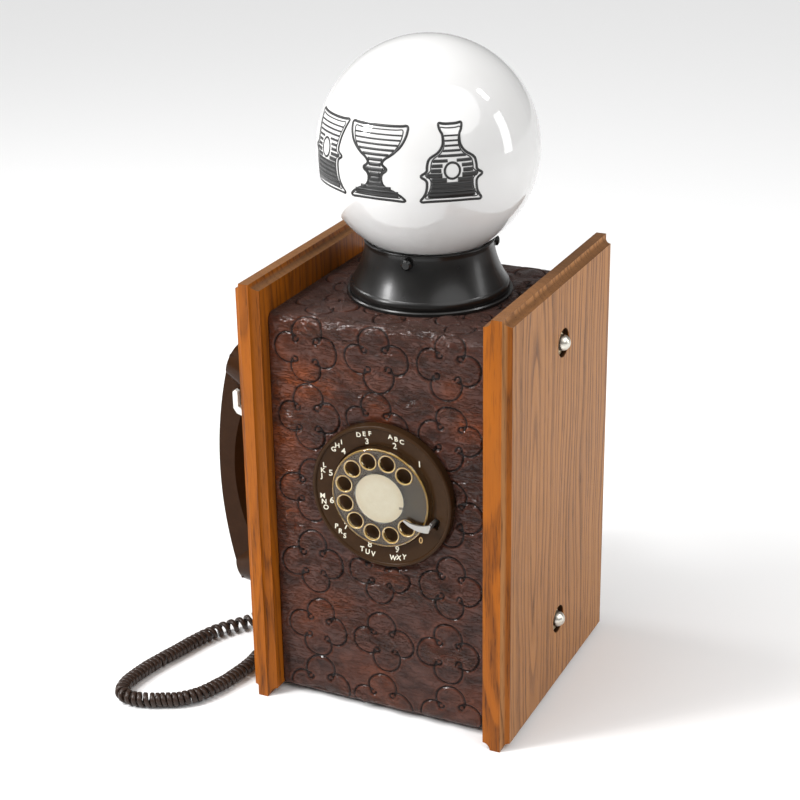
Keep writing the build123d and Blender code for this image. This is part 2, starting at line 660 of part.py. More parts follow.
def cord_radii(points):
    """Each arc takes 0.45 of the shorter of its two runs."""
    radii = []
    for before, here, after in zip(points, points[1:], points[2:]):
        run_in, run_out = Vector(*here) - Vector(*before), Vector(*after) - Vector(*here)
        turn = math.radians(run_in.get_angle(run_out))
        radii.append(0.45 * min(run_in.length, run_out.length) / math.tan(turn / 2))
    return radii


CORD_POINTS = [at(*point) for point in CORD_ROUTE]
CORD_RADII = cord_radii(CORD_POINTS)
with BuildPart() as curly_cord:
    with BuildLine() as cord_path:
        FilletPolyline(*CORD_POINTS, radius=CORD_RADII)
    with BuildSketch(Plane(cord_path.line @ 0, z_dir=cord_path.line % 0)):
        Circle(CORD_R)
    sweep()
write(curly_cord, "curly_cord")
cord_length = sum(edge.length for edge in cord_path.edges())
print("cord radii", [round(r, 1) for r in CORD_RADII], "length", round(cord_length, 1))
print("cord volume / (section x length)",
      round(curly_cord.part.volume / (math.pi * CORD_R**2 * cord_length), 4))

with BuildPart() as cabinet_cord_bush:
    with BuildSketch(across(-OUTER_X)):
        with Locations((BUSH_Y, BUSH_Z)):
            Circle(9.0)
    extrude(amount=-BUSH_P)
    fillet(cabinet_cord_bush.edges().group_by(Axis.X)[0], 1.0)
    with BuildSketch(across(-OUTER_X)):
        with Locations((BUSH_Y, BUSH_Z)):
            Circle(BUSH_NECK_R - 0.05)
    extrude(amount=PANEL_T)
    with BuildSketch(across(-HALF_GAP)):
        with Locations((BUSH_Y, BUSH_Z)):
            Circle(2.5)
    extrude(amount=-PANEL_T + 2, mode=Mode.SUBTRACT)
write(cabinet_cord_bush, "cabinet_cord_bush")

# ---- switch hook ---------------------------------------------------------------------------------
TONGUE_T, TONGUE_W = 6.0, 12.0
FORK_P0 = 2.5


def hook_side(p, z):
    """A point of the hook's side view: p out from the panel, z up."""
    return (p, z)


ARM_POINTS = [hook_side(FORK_P0, 184.0), hook_side(38, 194.5), hook_side(46, 197.0),
              hook_side(49, 201.0), hook_side(49, 214.5), hook_side(47, 216.5),
              hook_side(44.8, 215.0), hook_side(44.8, 203.0), hook_side(42, 201.0),
              hook_side(FORK_P0, 201.0)]
with BuildPart() as hook_fork:
    for side in (-1, 1):
        with BuildSketch(HANDSET_SECTION.offset(side * FORK_Y)):
            with BuildLine():
                Polyline(*ARM_POINTS, close=True)
            make_face()
        extrude(amount=2.0, both=True)
    with BuildSketch(HANDSET_SECTION):
        with Locations((FORK_P0 + 3.5, 189.7)):
            Rectangle(7.0, 11.4)
    extrude(amount=FORK_Y + 1.5, both=True)
    with BuildSketch(across(-OUTER_X - FORK_P0 - 1)):
        with Locations((HANDSET_Y, HOOK_Z)):
            Rectangle(TONGUE_W, TONGUE_T)
    extrude(amount=OUTER_X + FORK_P0 + 1 - 68.0)
    with BuildSketch(HANDSET_SECTION):
        with Locations((-OUTER_X - HOOK_X, HOOK_Z)):
            Circle(HOOK_PIN_R + RUNNING)
    extrude(amount=TONGUE_W, both=True, mode=Mode.SUBTRACT)
write(hook_fork, "hook_fork")

BRACKET_X0, BRACKET_T = -HALF_GAP, 1.5
EAR_Y = TONGUE_W / 2 + 1.0
with BuildPart() as hook_bracket:
    with BuildSketch(across(BRACKET_X0)):
        with Locations((HANDSET_Y, HOOK_Z)):
            Rectangle(40, 46)
        with Locations((HANDSET_Y, HOOK_Z + 2.5)):
            Rectangle(15, 15, mode=Mode.SUBTRACT)
        with Locations((HANDSET_Y - 15, HOOK_Z), (HANDSET_Y + 15, HOOK_Z)):
            Circle(1.8, mode=Mode.SUBTRACT)
    extrude(amount=BRACKET_T)
    for side in (-1, 1):
        with BuildSketch(across(BRACKET_X0)):
            with Locations((HANDSET_Y + side * (EAR_Y + 0.75), HOOK_Z)):
                Rectangle(1.5, 22)
        extrude(amount=12)
    with BuildSketch(HANDSET_SECTION):
        with Locations((-OUTER_X - HOOK_X, HOOK_Z)):
            Circle(HOOK_PIN_R + 0.02)
    extrude(amount=20, both=True, mode=Mode.SUBTRACT)
    with BuildSketch(level(HOOK_Z + 19)):                    # tab over the spring
        with Locations(((BRACKET_X0 - 67.0) / 2, HANDSET_Y)):
            Rectangle(-67.0 - BRACKET_X0, 12)
    extrude(amount=1.5)
write(hook_bracket, "hook_bracket")

with BuildPart() as hook_pin:
    with BuildSketch(depth(HANDSET_Y + EAR_Y + 2.2)):
        with Locations((HOOK_X, HOOK_Z)):
            Circle(HOOK_PIN_R)
    extrude(amount=2 * (EAR_Y + 2.2))
write(hook_pin, "hook_pin")

SPRING_Z0, SPRING_Z1 = HOOK_Z + TONGUE_T / 2 + 0.8, HOOK_Z + 18.5
with BuildPart() as hook_spring:
    with BuildLine() as turns:
        Helix((SPRING_Z1 - SPRING_Z0) / 6, SPRING_Z1 - SPRING_Z0, 2.6,
              center=at(-72.0, HANDSET_Y, SPRING_Z0))
    with BuildSketch(Plane(turns.line @ 0, z_dir=turns.line % 0)):
        Circle(0.4)
    sweep(is_frenet=True)
write(hook_spring, "hook_spring")

with BuildPart() as hook_bracket_screws:
    for side in (-1, 1):
        with BuildSketch(across(BRACKET_X0 + BRACKET_T)):
            with Locations((HANDSET_Y + side * 15, HOOK_Z)):
                Circle(3.0)
        extrude(amount=1.8)
write(hook_bracket_screws, "hook_bracket_screws")

with BuildPart() as hook_switch:
    with BuildSketch(across(BRACKET_X0)):
        with Locations((HANDSET_Y, HOOK_Z - 32)):
            Rectangle(22, 16)
    extrude(amount=22)
    with BuildSketch(level(HOOK_Z - 24)):
        with Locations((-72.0, HANDSET_Y)):
            with GridLocations(0, 6, 1, 3):
                Rectangle(6, 0.6)
    extrude(amount=17)
write(hook_switch, "hook_switch")

# ---- lamp ----------------------------------------------------------------------------------------
FITTER_DECK_Z = 334.0
SCREW_Z, SCREW_TURNS = 343.5, (5, 125, 245)        # thumb screws round the collar
with BuildPart() as lamp_fitter:
    with BuildSketch(LAMP_SECTION):
        with BuildLine():
            Polyline((NIPPLE_R + 0.2, FITTER_DECK_Z), (47.4, FITTER_DECK_Z), (FITTER_TOP_R - SHEET, 342.0),
                     (FITTER_TOP_R - SHEET, FITTER_TOP_Z), (FITTER_TOP_R, FITTER_TOP_Z))
            ThreePointArc((FITTER_TOP_R, FITTER_TOP_Z), (FITTER_TOP_R + 0.7, FITTER_TOP_Z - 0.8),
                          (FITTER_TOP_R, FITTER_TOP_Z - 1.6))
            Line((FITTER_TOP_R, FITTER_TOP_Z - 1.6), (FITTER_TOP_R, 346.0))
            ThreePointArc((FITTER_TOP_R, 346.0), (50.2, 332.5), (57.0, 318.6))
            ThreePointArc((57.0, 318.6), (58.7, 315.2), (58.1, 312.2))
            Polyline((58.1, 312.2), (FITTER_BASE_R - 0.8, 312.2), (FITTER_BASE_R, 311.4),
                     (FITTER_BASE_R, BODY_Z1), (56.8, BODY_Z1), (56.8, 315.0), (55.6, 318.4))
            ThreePointArc((55.6, 318.4), (50.7, 325.2), (47.8, FITTER_DECK_Z - SHEET))
            Polyline((47.8, FITTER_DECK_Z - SHEET), (NIPPLE_R + 0.2, FITTER_DECK_Z - SHEET),
                     (NIPPLE_R + 0.2, FITTER_DECK_Z))
        make_face()
    revolve(axis=LAMP_AXIS)
    for turn in SCREW_TURNS:
        screw_plane = Plane(at(0, LAMP_Y, SCREW_Z), z_dir=Vector(0, -1, 0).rotate(Axis.Z, turn))
        with BuildSketch(screw_plane.offset(FITTER_TOP_R - 4)):
            Circle(1.75)
        extrude(amount=8, mode=Mode.SUBTRACT)
write(lamp_fitter, "lamp_fitter")

NECK_R = 41.0
NECK_Z = GLOBE_Z - math.sqrt(GLOBE_R**2 - (NECK_R - 1) ** 2)
with BuildPart() as globe:
    with BuildSketch(LAMP_SECTION):
        with BuildLine():
            inner_r = GLOBE_R - GLASS_T
            inner_neck_z = GLOBE_Z - math.sqrt(inner_r**2 - (NECK_R - 4) ** 2)
            ThreePointArc((0, GLOBE_Z + GLOBE_R), (GLOBE_R, GLOBE_Z), (NECK_R - 1, NECK_Z))
            Polyline((NECK_R - 1, NECK_Z), (NECK_R - 1.6, 341.0), (NECK_R, 339.5), (NECK_R, 336.0),
                     (NECK_R - 4, 336.0), (NECK_R - 4, inner_neck_z))
            ThreePointArc((NECK_R - 4, inner_neck_z), (inner_r, GLOBE_Z), (0, GLOBE_Z + inner_r))
            Line((0, GLOBE_Z + inner_r), (0, GLOBE_Z + GLOBE_R))
        make_face()
    revolve(axis=LAMP_AXIS)
write(globe, "globe")

with BuildPart() as thumb_screws:
    for turn in SCREW_TURNS:
        screw_plane = Plane(at(0, LAMP_Y, SCREW_Z), z_dir=Vector(0, -1, 0).rotate(Axis.Z, turn))
        with BuildSketch(screw_plane.offset(NECK_R - 1.2)):
            Circle(1.7)
        extrude(amount=FITTER_TOP_R + 3.0 - NECK_R + 1.2)
        with Locations(screw_plane.offset(FITTER_TOP_R + 1.6)):
            Cylinder(4.0, 1.8, align=UPRIGHT)
        with Locations(screw_plane.offset(FITTER_TOP_R + 3.4)):
            Cone(4.0, 2.6, 1.2, align=UPRIGHT)
write(thumb_screws, "thumb_screws")

with BuildPart() as threaded_nipple:
    with BuildSketch(level(INSIDE_Z1 - 8)):
        with Locations((0, LAMP_Y)):
            Circle(NIPPLE_R)
            Circle(3.5, mode=Mode.SUBTRACT)
    extrude(amount=FITTER_DECK_Z + 8 - INSIDE_Z1 + 8)
write(threaded_nipple, "threaded_nipple")

with BuildPart() as nipple_nuts:
    for z in (INSIDE_Z1 - 4.5, FITTER_DECK_Z + 0.1):
        with BuildSketch(level(z)):
            with Locations((0, LAMP_Y)):
                RegularPolygon(9.0, 6)
                Circle(NIPPLE_R + 0.05, mode=Mode.SUBTRACT)
        extrude(amount=4.4 if z < FITTER_DECK_Z else 3.0)
write(nipple_nuts, "nipple_nuts")

SOCKET_Z0 = FITTER_DECK_Z + 3.4
with BuildPart() as lamp_socket:
    with BuildSketch(LAMP_SECTION):
        with BuildLine():
            Polyline((NIPPLE_R + 0.05, SOCKET_Z0), (12.0, SOCKET_Z0), (18.0, SOCKET_Z0 + 6),
                     (18.0, SOCKET_Z0 + 40), (14.2, SOCKET_Z0 + 40), (14.2, SOCKET_Z0 + 11),
                     (NIPPLE_R + 0.05, SOCKET_Z0 + 11), close=True)
        make_face()
    revolve(axis=LAMP_AXIS)
    fillet(lamp_socket.edges().group_by(Axis.Z)[-1], 0.8)
write(lamp_socket, "lamp_socket")

BULB_Z0 = SOCKET_Z0 + 13.5
with BuildPart() as bulb_base:
    with BuildSketch(LAMP_SECTION):
        with BuildLine():
            Polyline((0, BULB_Z0), (4.5, BULB_Z0), (5.5, BULB_Z0 + 2), (13.0, BULB_Z0 + 5),
                     (13.0, BULB_Z0 + 26), (0, BULB_Z0 + 26), close=True)
        make_face()
    revolve(axis=LAMP_AXIS)
write(bulb_base, "bulb_base")

BULB_R, BULB_CENTRE_Z, BULB_T = 30.0, BULB_Z0 + 76.0, 1.0


def bulb_outline(radius, neck_r, shoulder_r):
    """Half outline of the bulb from its foot to its crown."""
    foot_z = BULB_Z0 + 26.1
    shoulder = (shoulder_r, BULB_CENTRE_Z - math.sqrt(radius**2 - shoulder_r**2))
    flank = (radius * math.cos(0.6), BULB_CENTRE_Z + radius * math.sin(0.6))
    return (neck_r, foot_z), (neck_r + 1, foot_z + 10), shoulder, flank, (0, BULB_CENTRE_Z + radius)


with BuildPart() as bulb_glass:
    with BuildSketch(LAMP_SECTION):
        with BuildLine():
            foot, neck, shoulder, flank, crown = bulb_outline(BULB_R, 13.4, 27.0)
            foot_in, neck_in, shoulder_in, flank_in, crown_in = bulb_outline(
                BULB_R - BULB_T, 13.4 - BULB_T, 27.0 - BULB_T)
            Polyline(shoulder_in, neck_in, foot_in, foot, neck, shoulder)
            ThreePointArc(shoulder, flank, crown)
            Line(crown, crown_in)
            ThreePointArc(crown_in, flank_in, shoulder_in)
        make_face()
    revolve(axis=LAMP_AXIS)
write(bulb_glass, "bulb_glass")

# ---- ringer and wiring inside --------------------------------------------------------------------
with BuildPart() as ringer_frame:
    with BuildSketch(level(INSIDE_Z0)):
        with Locations((0, RINGER_Y + 22)):
            RectangleRounded(96, 76, 4)
    extrude(amount=1.5)
    with BuildSketch(level(INSIDE_Z0 + 1.5)):
        with Locations((-GONG_X, RINGER_Y), (GONG_X, RINGER_Y)):
            Circle(3.0)
    extrude(amount=24.0)
    with BuildSketch(level(INSIDE_Z0 + 1.5)):
        with Locations((0, RINGER_Y + 30)):
            Rectangle(12, 8)
    extrude(amount=10.0)
write(ringer_frame, "ringer_frame")

GONG_Z1 = INSIDE_Z0 + 29.5
with BuildPart() as gongs:
    for x in (-GONG_X, GONG_X):
        gong_section = Plane(at(x, RINGER_Y, 0), x_dir=(1, 0, 0), z_dir=(0, -1, 0))
        with BuildSketch(gong_section):
            with BuildLine():
                Polyline((3.1, GONG_Z1), (3.1, GONG_Z1 - 1.5), (13.0, GONG_Z1 - 1.7))
                ThreePointArc((13.0, GONG_Z1 - 1.7), (16.9, GONG_Z1 - 5.9), (18.6, GONG_Z1 - 12))
                Line((18.6, GONG_Z1 - 12), (GONG_R, GONG_Z1 - 12))
                ThreePointArc((GONG_R, GONG_Z1 - 12), (18.24, GONG_Z1 - 5.15), (13.4, GONG_Z1))
                Line((13.4, GONG_Z1), (3.1, GONG_Z1))
            make_face()
        revolve(axis=Axis(at(x, RINGER_Y, 0), (0, 0, 1)))
write(gongs, "gongs")

with BuildPart() as gong_screws:
    for x in (-GONG_X, GONG_X):
        with BuildSketch(level(INSIDE_Z0 + 25.6)):
            with Locations((x, RINGER_Y)):
                Circle(3.0)
        extrude(amount=4.0)
        with BuildSketch(level(GONG_Z1 + 0.1)):
            with Locations((x, RINGER_Y)):
                Circle(4.5)
        extrude(amount=2.0)
write(gong_screws, "gong_screws")

CLAPPER_Y = RINGER_Y + 30.0
CLAPPER_Z = INSIDE_Z0 + 20.0
with BuildPart() as clapper:
    with BuildSketch(level(CLAPPER_Z)):
        with Locations((0, RINGER_Y + 15)):
            Rectangle(1.6, 30)
        with Locations((0, CLAPPER_Y)):
            Rectangle(34, 5)
            Circle(4.0)
            Circle(1.5 + RUNNING, mode=Mode.SUBTRACT)
        with Locations((0, RINGER_Y)):
            Circle(3.0)
    extrude(amount=3.0)
write(clapper, "clapper")

with BuildPart() as clapper_pin:
    with BuildSketch(level(INSIDE_Z0 + 11.5)):
        with Locations((0, CLAPPER_Y)):
            Circle(1.5)
    extrude(amount=14)
write(clapper_pin, "clapper_pin")

with BuildPart() as ringer_coils:
    with BuildSketch(level(INSIDE_Z0 + 1.6)):
        with Locations((-13, RINGER_Y + 46), (13, RINGER_Y + 46)):
            Circle(9.0)
    extrude(amount=26)
    with BuildSketch(level(INSIDE_Z0 + 27.6)):
        with Locations((0, RINGER_Y + 46)):
            RectangleRounded(48, 14, 3)
    extrude(amount=2)
write(ringer_coils, "ringer_coils")

with BuildPart() as network_block:
    with BuildSketch(level(INSIDE_Z0)):
        with Locations((42, 58)):
            RectangleRounded(64, 40, 3)
    extrude(amount=26)
    fillet(network_block.edges().group_by(Axis.Z)[-1], 1.5)
write(network_block, "network_block")

with BuildPart() as terminal_screws:
    with BuildSketch(level(INSIDE_Z0 + 26)):
        with Locations((42, 58)):
            with GridLocations(12, 22, 5, 2):
                Circle(3.0)
    extrude(amount=2)
write(terminal_screws, "terminal_screws")


def grommet(x, bore_r, name):
    """Rubber grommet in the back cover."""
    section = Plane(at(x, 0, GROMMET_Z), x_dir=(1, 0, 0), z_dir=(0, 0, 1))
    lip_r = GROMMET_NECK_R + 2.5
    y0, y1 = INSIDE_Y1 - 2.0, BOARD_Y1 + 2.0
    neck_r = GROMMET_NECK_R - 0.05
    points = [(bore_r, y0), (lip_r, y0), (lip_r, INSIDE_Y1 - 0.05), (neck_r, INSIDE_Y1 - 0.05),
              (neck_r, BOARD_Y1 + 0.05), (lip_r, BOARD_Y1 + 0.05), (lip_r, y1), (bore_r, y1)]
    write(turned(points, name, section, Axis(at(x, 0, GROMMET_Z), (0, 1, 0))), name)


grommet(-GROMMET_X, 3.0, "line_grommet")
grommet(GROMMET_X, 3.5, "mains_grommet")
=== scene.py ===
import itertools
import math
import random

import bmesh
import bpy
import numpy as np
from mathutils import Matrix, Vector


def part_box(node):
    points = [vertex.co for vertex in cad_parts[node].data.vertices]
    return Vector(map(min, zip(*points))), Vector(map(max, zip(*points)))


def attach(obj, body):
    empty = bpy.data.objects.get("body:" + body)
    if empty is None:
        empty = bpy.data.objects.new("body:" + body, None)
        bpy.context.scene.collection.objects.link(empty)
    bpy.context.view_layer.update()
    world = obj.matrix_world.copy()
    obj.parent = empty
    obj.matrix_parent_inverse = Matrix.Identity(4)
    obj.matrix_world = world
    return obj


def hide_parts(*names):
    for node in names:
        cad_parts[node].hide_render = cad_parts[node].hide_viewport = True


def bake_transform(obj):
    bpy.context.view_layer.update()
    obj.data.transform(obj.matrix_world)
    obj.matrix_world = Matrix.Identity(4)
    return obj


# Looks of the rotary telephone bar lamp.  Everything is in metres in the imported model's frame:
# +Z up, the dial faces -Y, the handset hangs on the -X side.

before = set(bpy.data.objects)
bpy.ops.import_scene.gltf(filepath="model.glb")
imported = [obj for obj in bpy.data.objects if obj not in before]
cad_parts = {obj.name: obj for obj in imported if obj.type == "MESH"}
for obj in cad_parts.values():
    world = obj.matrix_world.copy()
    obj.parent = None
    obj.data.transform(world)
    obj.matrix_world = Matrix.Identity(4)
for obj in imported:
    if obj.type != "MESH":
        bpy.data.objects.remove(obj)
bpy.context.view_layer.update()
MM = 0.001

# ---- helpers, and places read from the frame ----


def link(thing):
    bpy.context.scene.collection.objects.link(thing)


def middle(node):
    low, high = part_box(node)
    return (low + high) / 2


ROD_LOW, ROD_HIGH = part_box("tie_rods")
ROD_R = 0.003
ROD_HEIGHTS = (ROD_LOW.z + ROD_R, ROD_HIGH.z - ROD_R)
ROD_Y = (ROD_LOW.y + ROD_HIGH.y) / 2
LEFT_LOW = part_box("side_panel_left")[0]
RIGHT_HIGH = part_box("side_panel_right")[1]
CAB_X = (LEFT_LOW.x + RIGHT_HIGH.x) / 2
CAB_Y = LEFT_LOW.y
PLATE = middle("number_plate")
BODY_LOW, BODY_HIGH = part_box("leather_cover")
GLOBE_LOW, GLOBE_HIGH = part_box("globe")
GLOBE_R = (GLOBE_HIGH.x - GLOBE_LOW.x) / 2
GLOBE_CENTRE = Vector(((GLOBE_LOW.x + GLOBE_HIGH.x) / 2, (GLOBE_LOW.y + GLOBE_HIGH.y) / 2,
                       GLOBE_HIGH.z - GLOBE_R))

# ---- camera, floor and light ----
VIEW_AZIMUTH, VIEW_ELEVATION, VIEW_ROLL = 25.397, 22.604, -0.959  # degrees
VIEW_DISTANCE, FOCAL_WIDTHS = 1.3971, 2.3094  # metres; focal length over sensor width
SENSOR_WIDTH = 36.0  # mm
CLIP_NEAR, CLIP_FAR = 0.05, 50.0
TARGET = Vector((CAB_X - 0.0248, CAB_Y + 0.104, 0.2180))
SKY_GLOW, SUN_STRENGTH, SUN_SPREAD = 0.26, 1.15, 50  # spread in degrees
SUNS = (("sky_left", (-0.55, -0.60, 1.3)), ("sky_right", (0.9, -0.45, 1.1)))
CABINET_AIM, EDGE_AIM, LAMP_AIM = (0.0, -0.08, 0.28), (0.03, -0.09, 0.31), tuple(GLOBE_CENTRE)
# Softboxes: (name, place, aim, width and height, watts).
SOFTBOXES = (
    ("box_main", (-1.02, -1.05, 1.06), CABINET_AIM, (0.28, 0.42), 17),
    ("box_left", (-1.31, 0.04, 1.09), LAMP_AIM, (0.16, 0.34), 5.0),
    ("box_right", (1.02, 0.43, 1.46), LAMP_AIM, (0.13, 0.28), 3.4),
    ("box_front", (-0.70, -0.72, 1.72), EDGE_AIM, (0.50, 0.20), 13),
    ("box_rim", (1.55, 0.55, 0.75), LAMP_AIM, (0.30, 0.90), 5),
)
FLOOR_SIZE, FLOOR_WHITE, FLOOR_ROUGHNESS, FLOOR_SPECULAR = 40, 0.88, 0.9, 0.1


def add_camera():
    azimuth, elevation = math.radians(VIEW_AZIMUTH), math.radians(VIEW_ELEVATION)
    away = Vector((math.sin(azimuth) * math.cos(elevation), -math.cos(azimuth) * math.cos(elevation),
                   math.sin(elevation)))
    data = bpy.data.cameras.new("camera")
    data.sensor_width = SENSOR_WIDTH
    data.lens = FOCAL_WIDTHS * data.sensor_width
    data.clip_start, data.clip_end = CLIP_NEAR, CLIP_FAR
    camera = bpy.data.objects.new("camera", data)
    turn = away.to_track_quat("Z", "Y") @ Matrix.Rotation(math.radians(VIEW_ROLL), 3, "Z").to_quaternion()
    camera.matrix_world = Matrix.Translation(TARGET + away * VIEW_DISTANCE) @ turn.to_matrix().to_4x4()
    link(camera)
    bpy.context.scene.camera = camera


def add_light(name, data, facing, place=(0, 0, 0)):
    """Puts a lamp in the scene; facing points from what it lights towards the lamp."""
    light = bpy.data.objects.new(name, data)
    light.location = place
    light.rotation_euler = Vector(facing).to_track_quat("Z", "Y").to_euler()
    link(light)


def add_softbox(name, place, aim, size, watts):
    data = bpy.data.lights.new(name, "AREA")
    data.shape, data.size, data.size_y, data.energy = "RECTANGLE", *size, watts
    add_light(name, data, Vector(place) - Vector(aim), place)


def add_sun(name, direction):
    data = bpy.data.lights.new(name, "SUN")
    data.energy, data.angle = SUN_STRENGTH, math.radians(SUN_SPREAD)
    add_light(name, data, direction)


def add_studio():
    """A pale paper floor under an even white sky, with softboxes round the lamp."""
    world = bpy.data.worlds.new("studio")
    world.use_nodes = True
    world.node_tree.nodes["Background"].inputs["Color"].default_value = (1.0, 1.0, 1.0, 1)
    world.node_tree.nodes["Background"].inputs["Strength"].default_value = SKY_GLOW
    bpy.context.scene.world = world
    bpy.context.scene.view_settings.view_transform = "Standard"
    bpy.ops.mesh.primitive_plane_add(size=FLOOR_SIZE)
    floor = bpy.context.object
    floor.name = "floor"
    paint = bpy.data.materials.new("floor_paper")
    paint.use_nodes = True
    shader = paint.node_tree.nodes["Principled BSDF"]
    shader.inputs["Base Color"].default_value = (FLOOR_WHITE, FLOOR_WHITE, FLOOR_WHITE, 1)
    shader.inputs["Roughness"].default_value = FLOOR_ROUGHNESS
    shader.inputs["Specular IOR Level"].default_value = FLOOR_SPECULAR
    floor.data.materials.append(paint)
    for sun in SUNS:
        add_sun(*sun)
    for softbox in SOFTBOXES:
        add_softbox(*softbox)


add_camera()
add_studio()

# ---- node helpers ----
MIX_COLOUR_A, MIX_COLOUR_B, MIX_COLOUR_OUT = 6, 7, 2  # the Mix node's colour sockets


class Look:
    """A material under construction: its node tree and its Principled shader."""

    def __init__(self, name, colour, roughness, metallic=0.0, **sockets):
        self.material = bpy.data.materials.new(name)
        self.material.use_nodes = True
        self.tree = self.material.node_tree
        self.shader = self.tree.nodes["Principled BSDF"]
        self.set("Base Color", colour)
        self.set("Roughness", roughness)
        self.set("Metallic", metallic)
        for socket, value in sockets.items():
            self.set(socket.replace("_", " "), value)
        self.place = self.node("ShaderNodeTexCoord").outputs["Object"]

    def set(self, socket, value):
        self.feed(self.shader.inputs[socket], value)

    def node(self, kind, **values):
        made = self.tree.nodes.new(kind)
        for key, value in values.items():
            setattr(made, key, value)
        return made

    def feed(self, socket, value):
        if isinstance(value, bpy.types.NodeSocket):
            self.tree.links.new(value, socket)
        elif hasattr(value, "__len__") and len(value) == 3 and socket.type == "RGBA":
            socket.default_value = (*value, 1)
        else:
            socket.default_value = value

    def mapped(self, scale, turn=(0, 0, 0)):
        made = self.node("ShaderNodeMapping")
        self.feed(made.inputs["Vector"], self.place)
        made.inputs["Scale"].default_value = scale
        made.inputs["Rotation"].default_value = turn
        return made.outputs["Vector"]

    def noise(self, source, scale, detail=4.0, roughness=0.55, distortion=0.0):
        made = self.node("ShaderNodeTexNoise")
        self.feed(made.inputs["Vector"], source)
        settings = {"Scale": scale, "Detail": detail, "Roughness": roughness, "Distortion": distortion}
        for socket, value in settings.items():
            made.inputs[socket].default_value = value
        return made.outputs["Fac"]

    def cells(self, source, scale):
        made = self.node("ShaderNodeTexVoronoi")
        self.feed(made.inputs["Vector"], source)
        made.inputs["Scale"].default_value = scale
        return made.outputs["Distance"]

    def math(self, operation, first, second=0.0):
        made = self.node("ShaderNodeMath", operation=operation)
        for socket, value in zip(made.inputs, (first, second)):
            self.feed(socket, value)
        return made.outputs["Value"]

    def plus(self, first, second):
        return self.math("ADD", first, second)

    def minus(self, first, second):
        return self.math("SUBTRACT", first, second)

    def times(self, first, second):
        return self.math("MULTIPLY", first, second)

    def distance(self, first, second):
        """Length of a step from its two parts."""
        return self.math("SQRT", self.plus(self.times(first, first), self.times(second, second)))

    def ramp(self, source, *stops):
        """Colours or greys by position: (position, colour)."""
        made = self.node("ShaderNodeValToRGB")
        self.feed(made.inputs["Fac"], source)
        band = made.color_ramp
        while len(band.elements) < len(stops):
            band.elements.new(0.5)
        for element, (position, colour) in zip(band.elements, stops):
            element.position = position
            grey = not hasattr(colour, "__len__")
            element.color = (colour, colour, colour, 1) if grey else (*colour, 1)
        return made.outputs["Color"]

    def mix(self, amount, first, second):
        made = self.node("ShaderNodeMix", data_type="RGBA")
        self.feed(made.inputs["Factor"], amount)
        self.feed(made.inputs[MIX_COLOUR_A], first)
        self.feed(made.inputs[MIX_COLOUR_B], second)
        return made.outputs[MIX_COLOUR_OUT]

    def split(self, source):
        made = self.node("ShaderNodeSeparateXYZ")
        self.feed(made.inputs["Vector"], source)
        return made.outputs["X"], made.outputs["Y"], made.outputs["Z"]

    def bump(self, height, strength, distance=0.001, under=None):
        made = self.node("ShaderNodeBump")
        self.feed(made.inputs["Height"], height)
        made.inputs["Strength"].default_value = strength
        made.inputs["Distance"].default_value = distance
        if under is not None:
            self.feed(made.inputs["Normal"], under)
        self.set("Normal", made.outputs["Normal"])
        return made.outputs["Normal"]


def dress(look, *nodes):
    """Gives CAD nodes a material."""
    for name in nodes:
        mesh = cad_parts[name].data
        mesh.materials.clear()
        mesh.materials.append(look.material)


# ---- materials ----


# Oak colours: early wood, late wood and fibres of the outer faces, of the edges, and of the ends.
FACE_EARLY, FACE_LATE, FACE_FIBRE = (0.395, 0.174, 0.056), (0.112, 0.036, 0.009), (0.430, 0.208, 0.078)
EDGE_EARLY, EDGE_LATE, EDGE_FIBRE = (0.345, 0.092, 0.005), (0.140, 0.033, 0.0025), (0.43, 0.138, 0.010)
END_EARLY, END_LATE = (0.205, 0.092, 0.034), (0.110, 0.046, 0.018)
# The bore colour is painted shade, laid inside the counterbores round the rods' nuts below the panel's face.
OAK_STAIN, OAK_PORE, BORE_PAINTED_SHADE = (0.15, 0.060, 0.022), (0.050, 0.017, 0.006), (0.035, 0.015, 0.006)
HEART_Y, HEART_Z = CAB_Y + 0.052, 0.165  # middle of the spindle figure on a panel
HEART_RUN = 0.085  # depth the rings gain along the panel
RINGS_PER_METRE, RING_UNEVEN, RING_RAGGED = 150.0, 2.6, 0.16
RING_SWAY = 0.034  # metres the figure wanders from side to side
BORE_R = 0.0112  # counterbore round a rod's nut


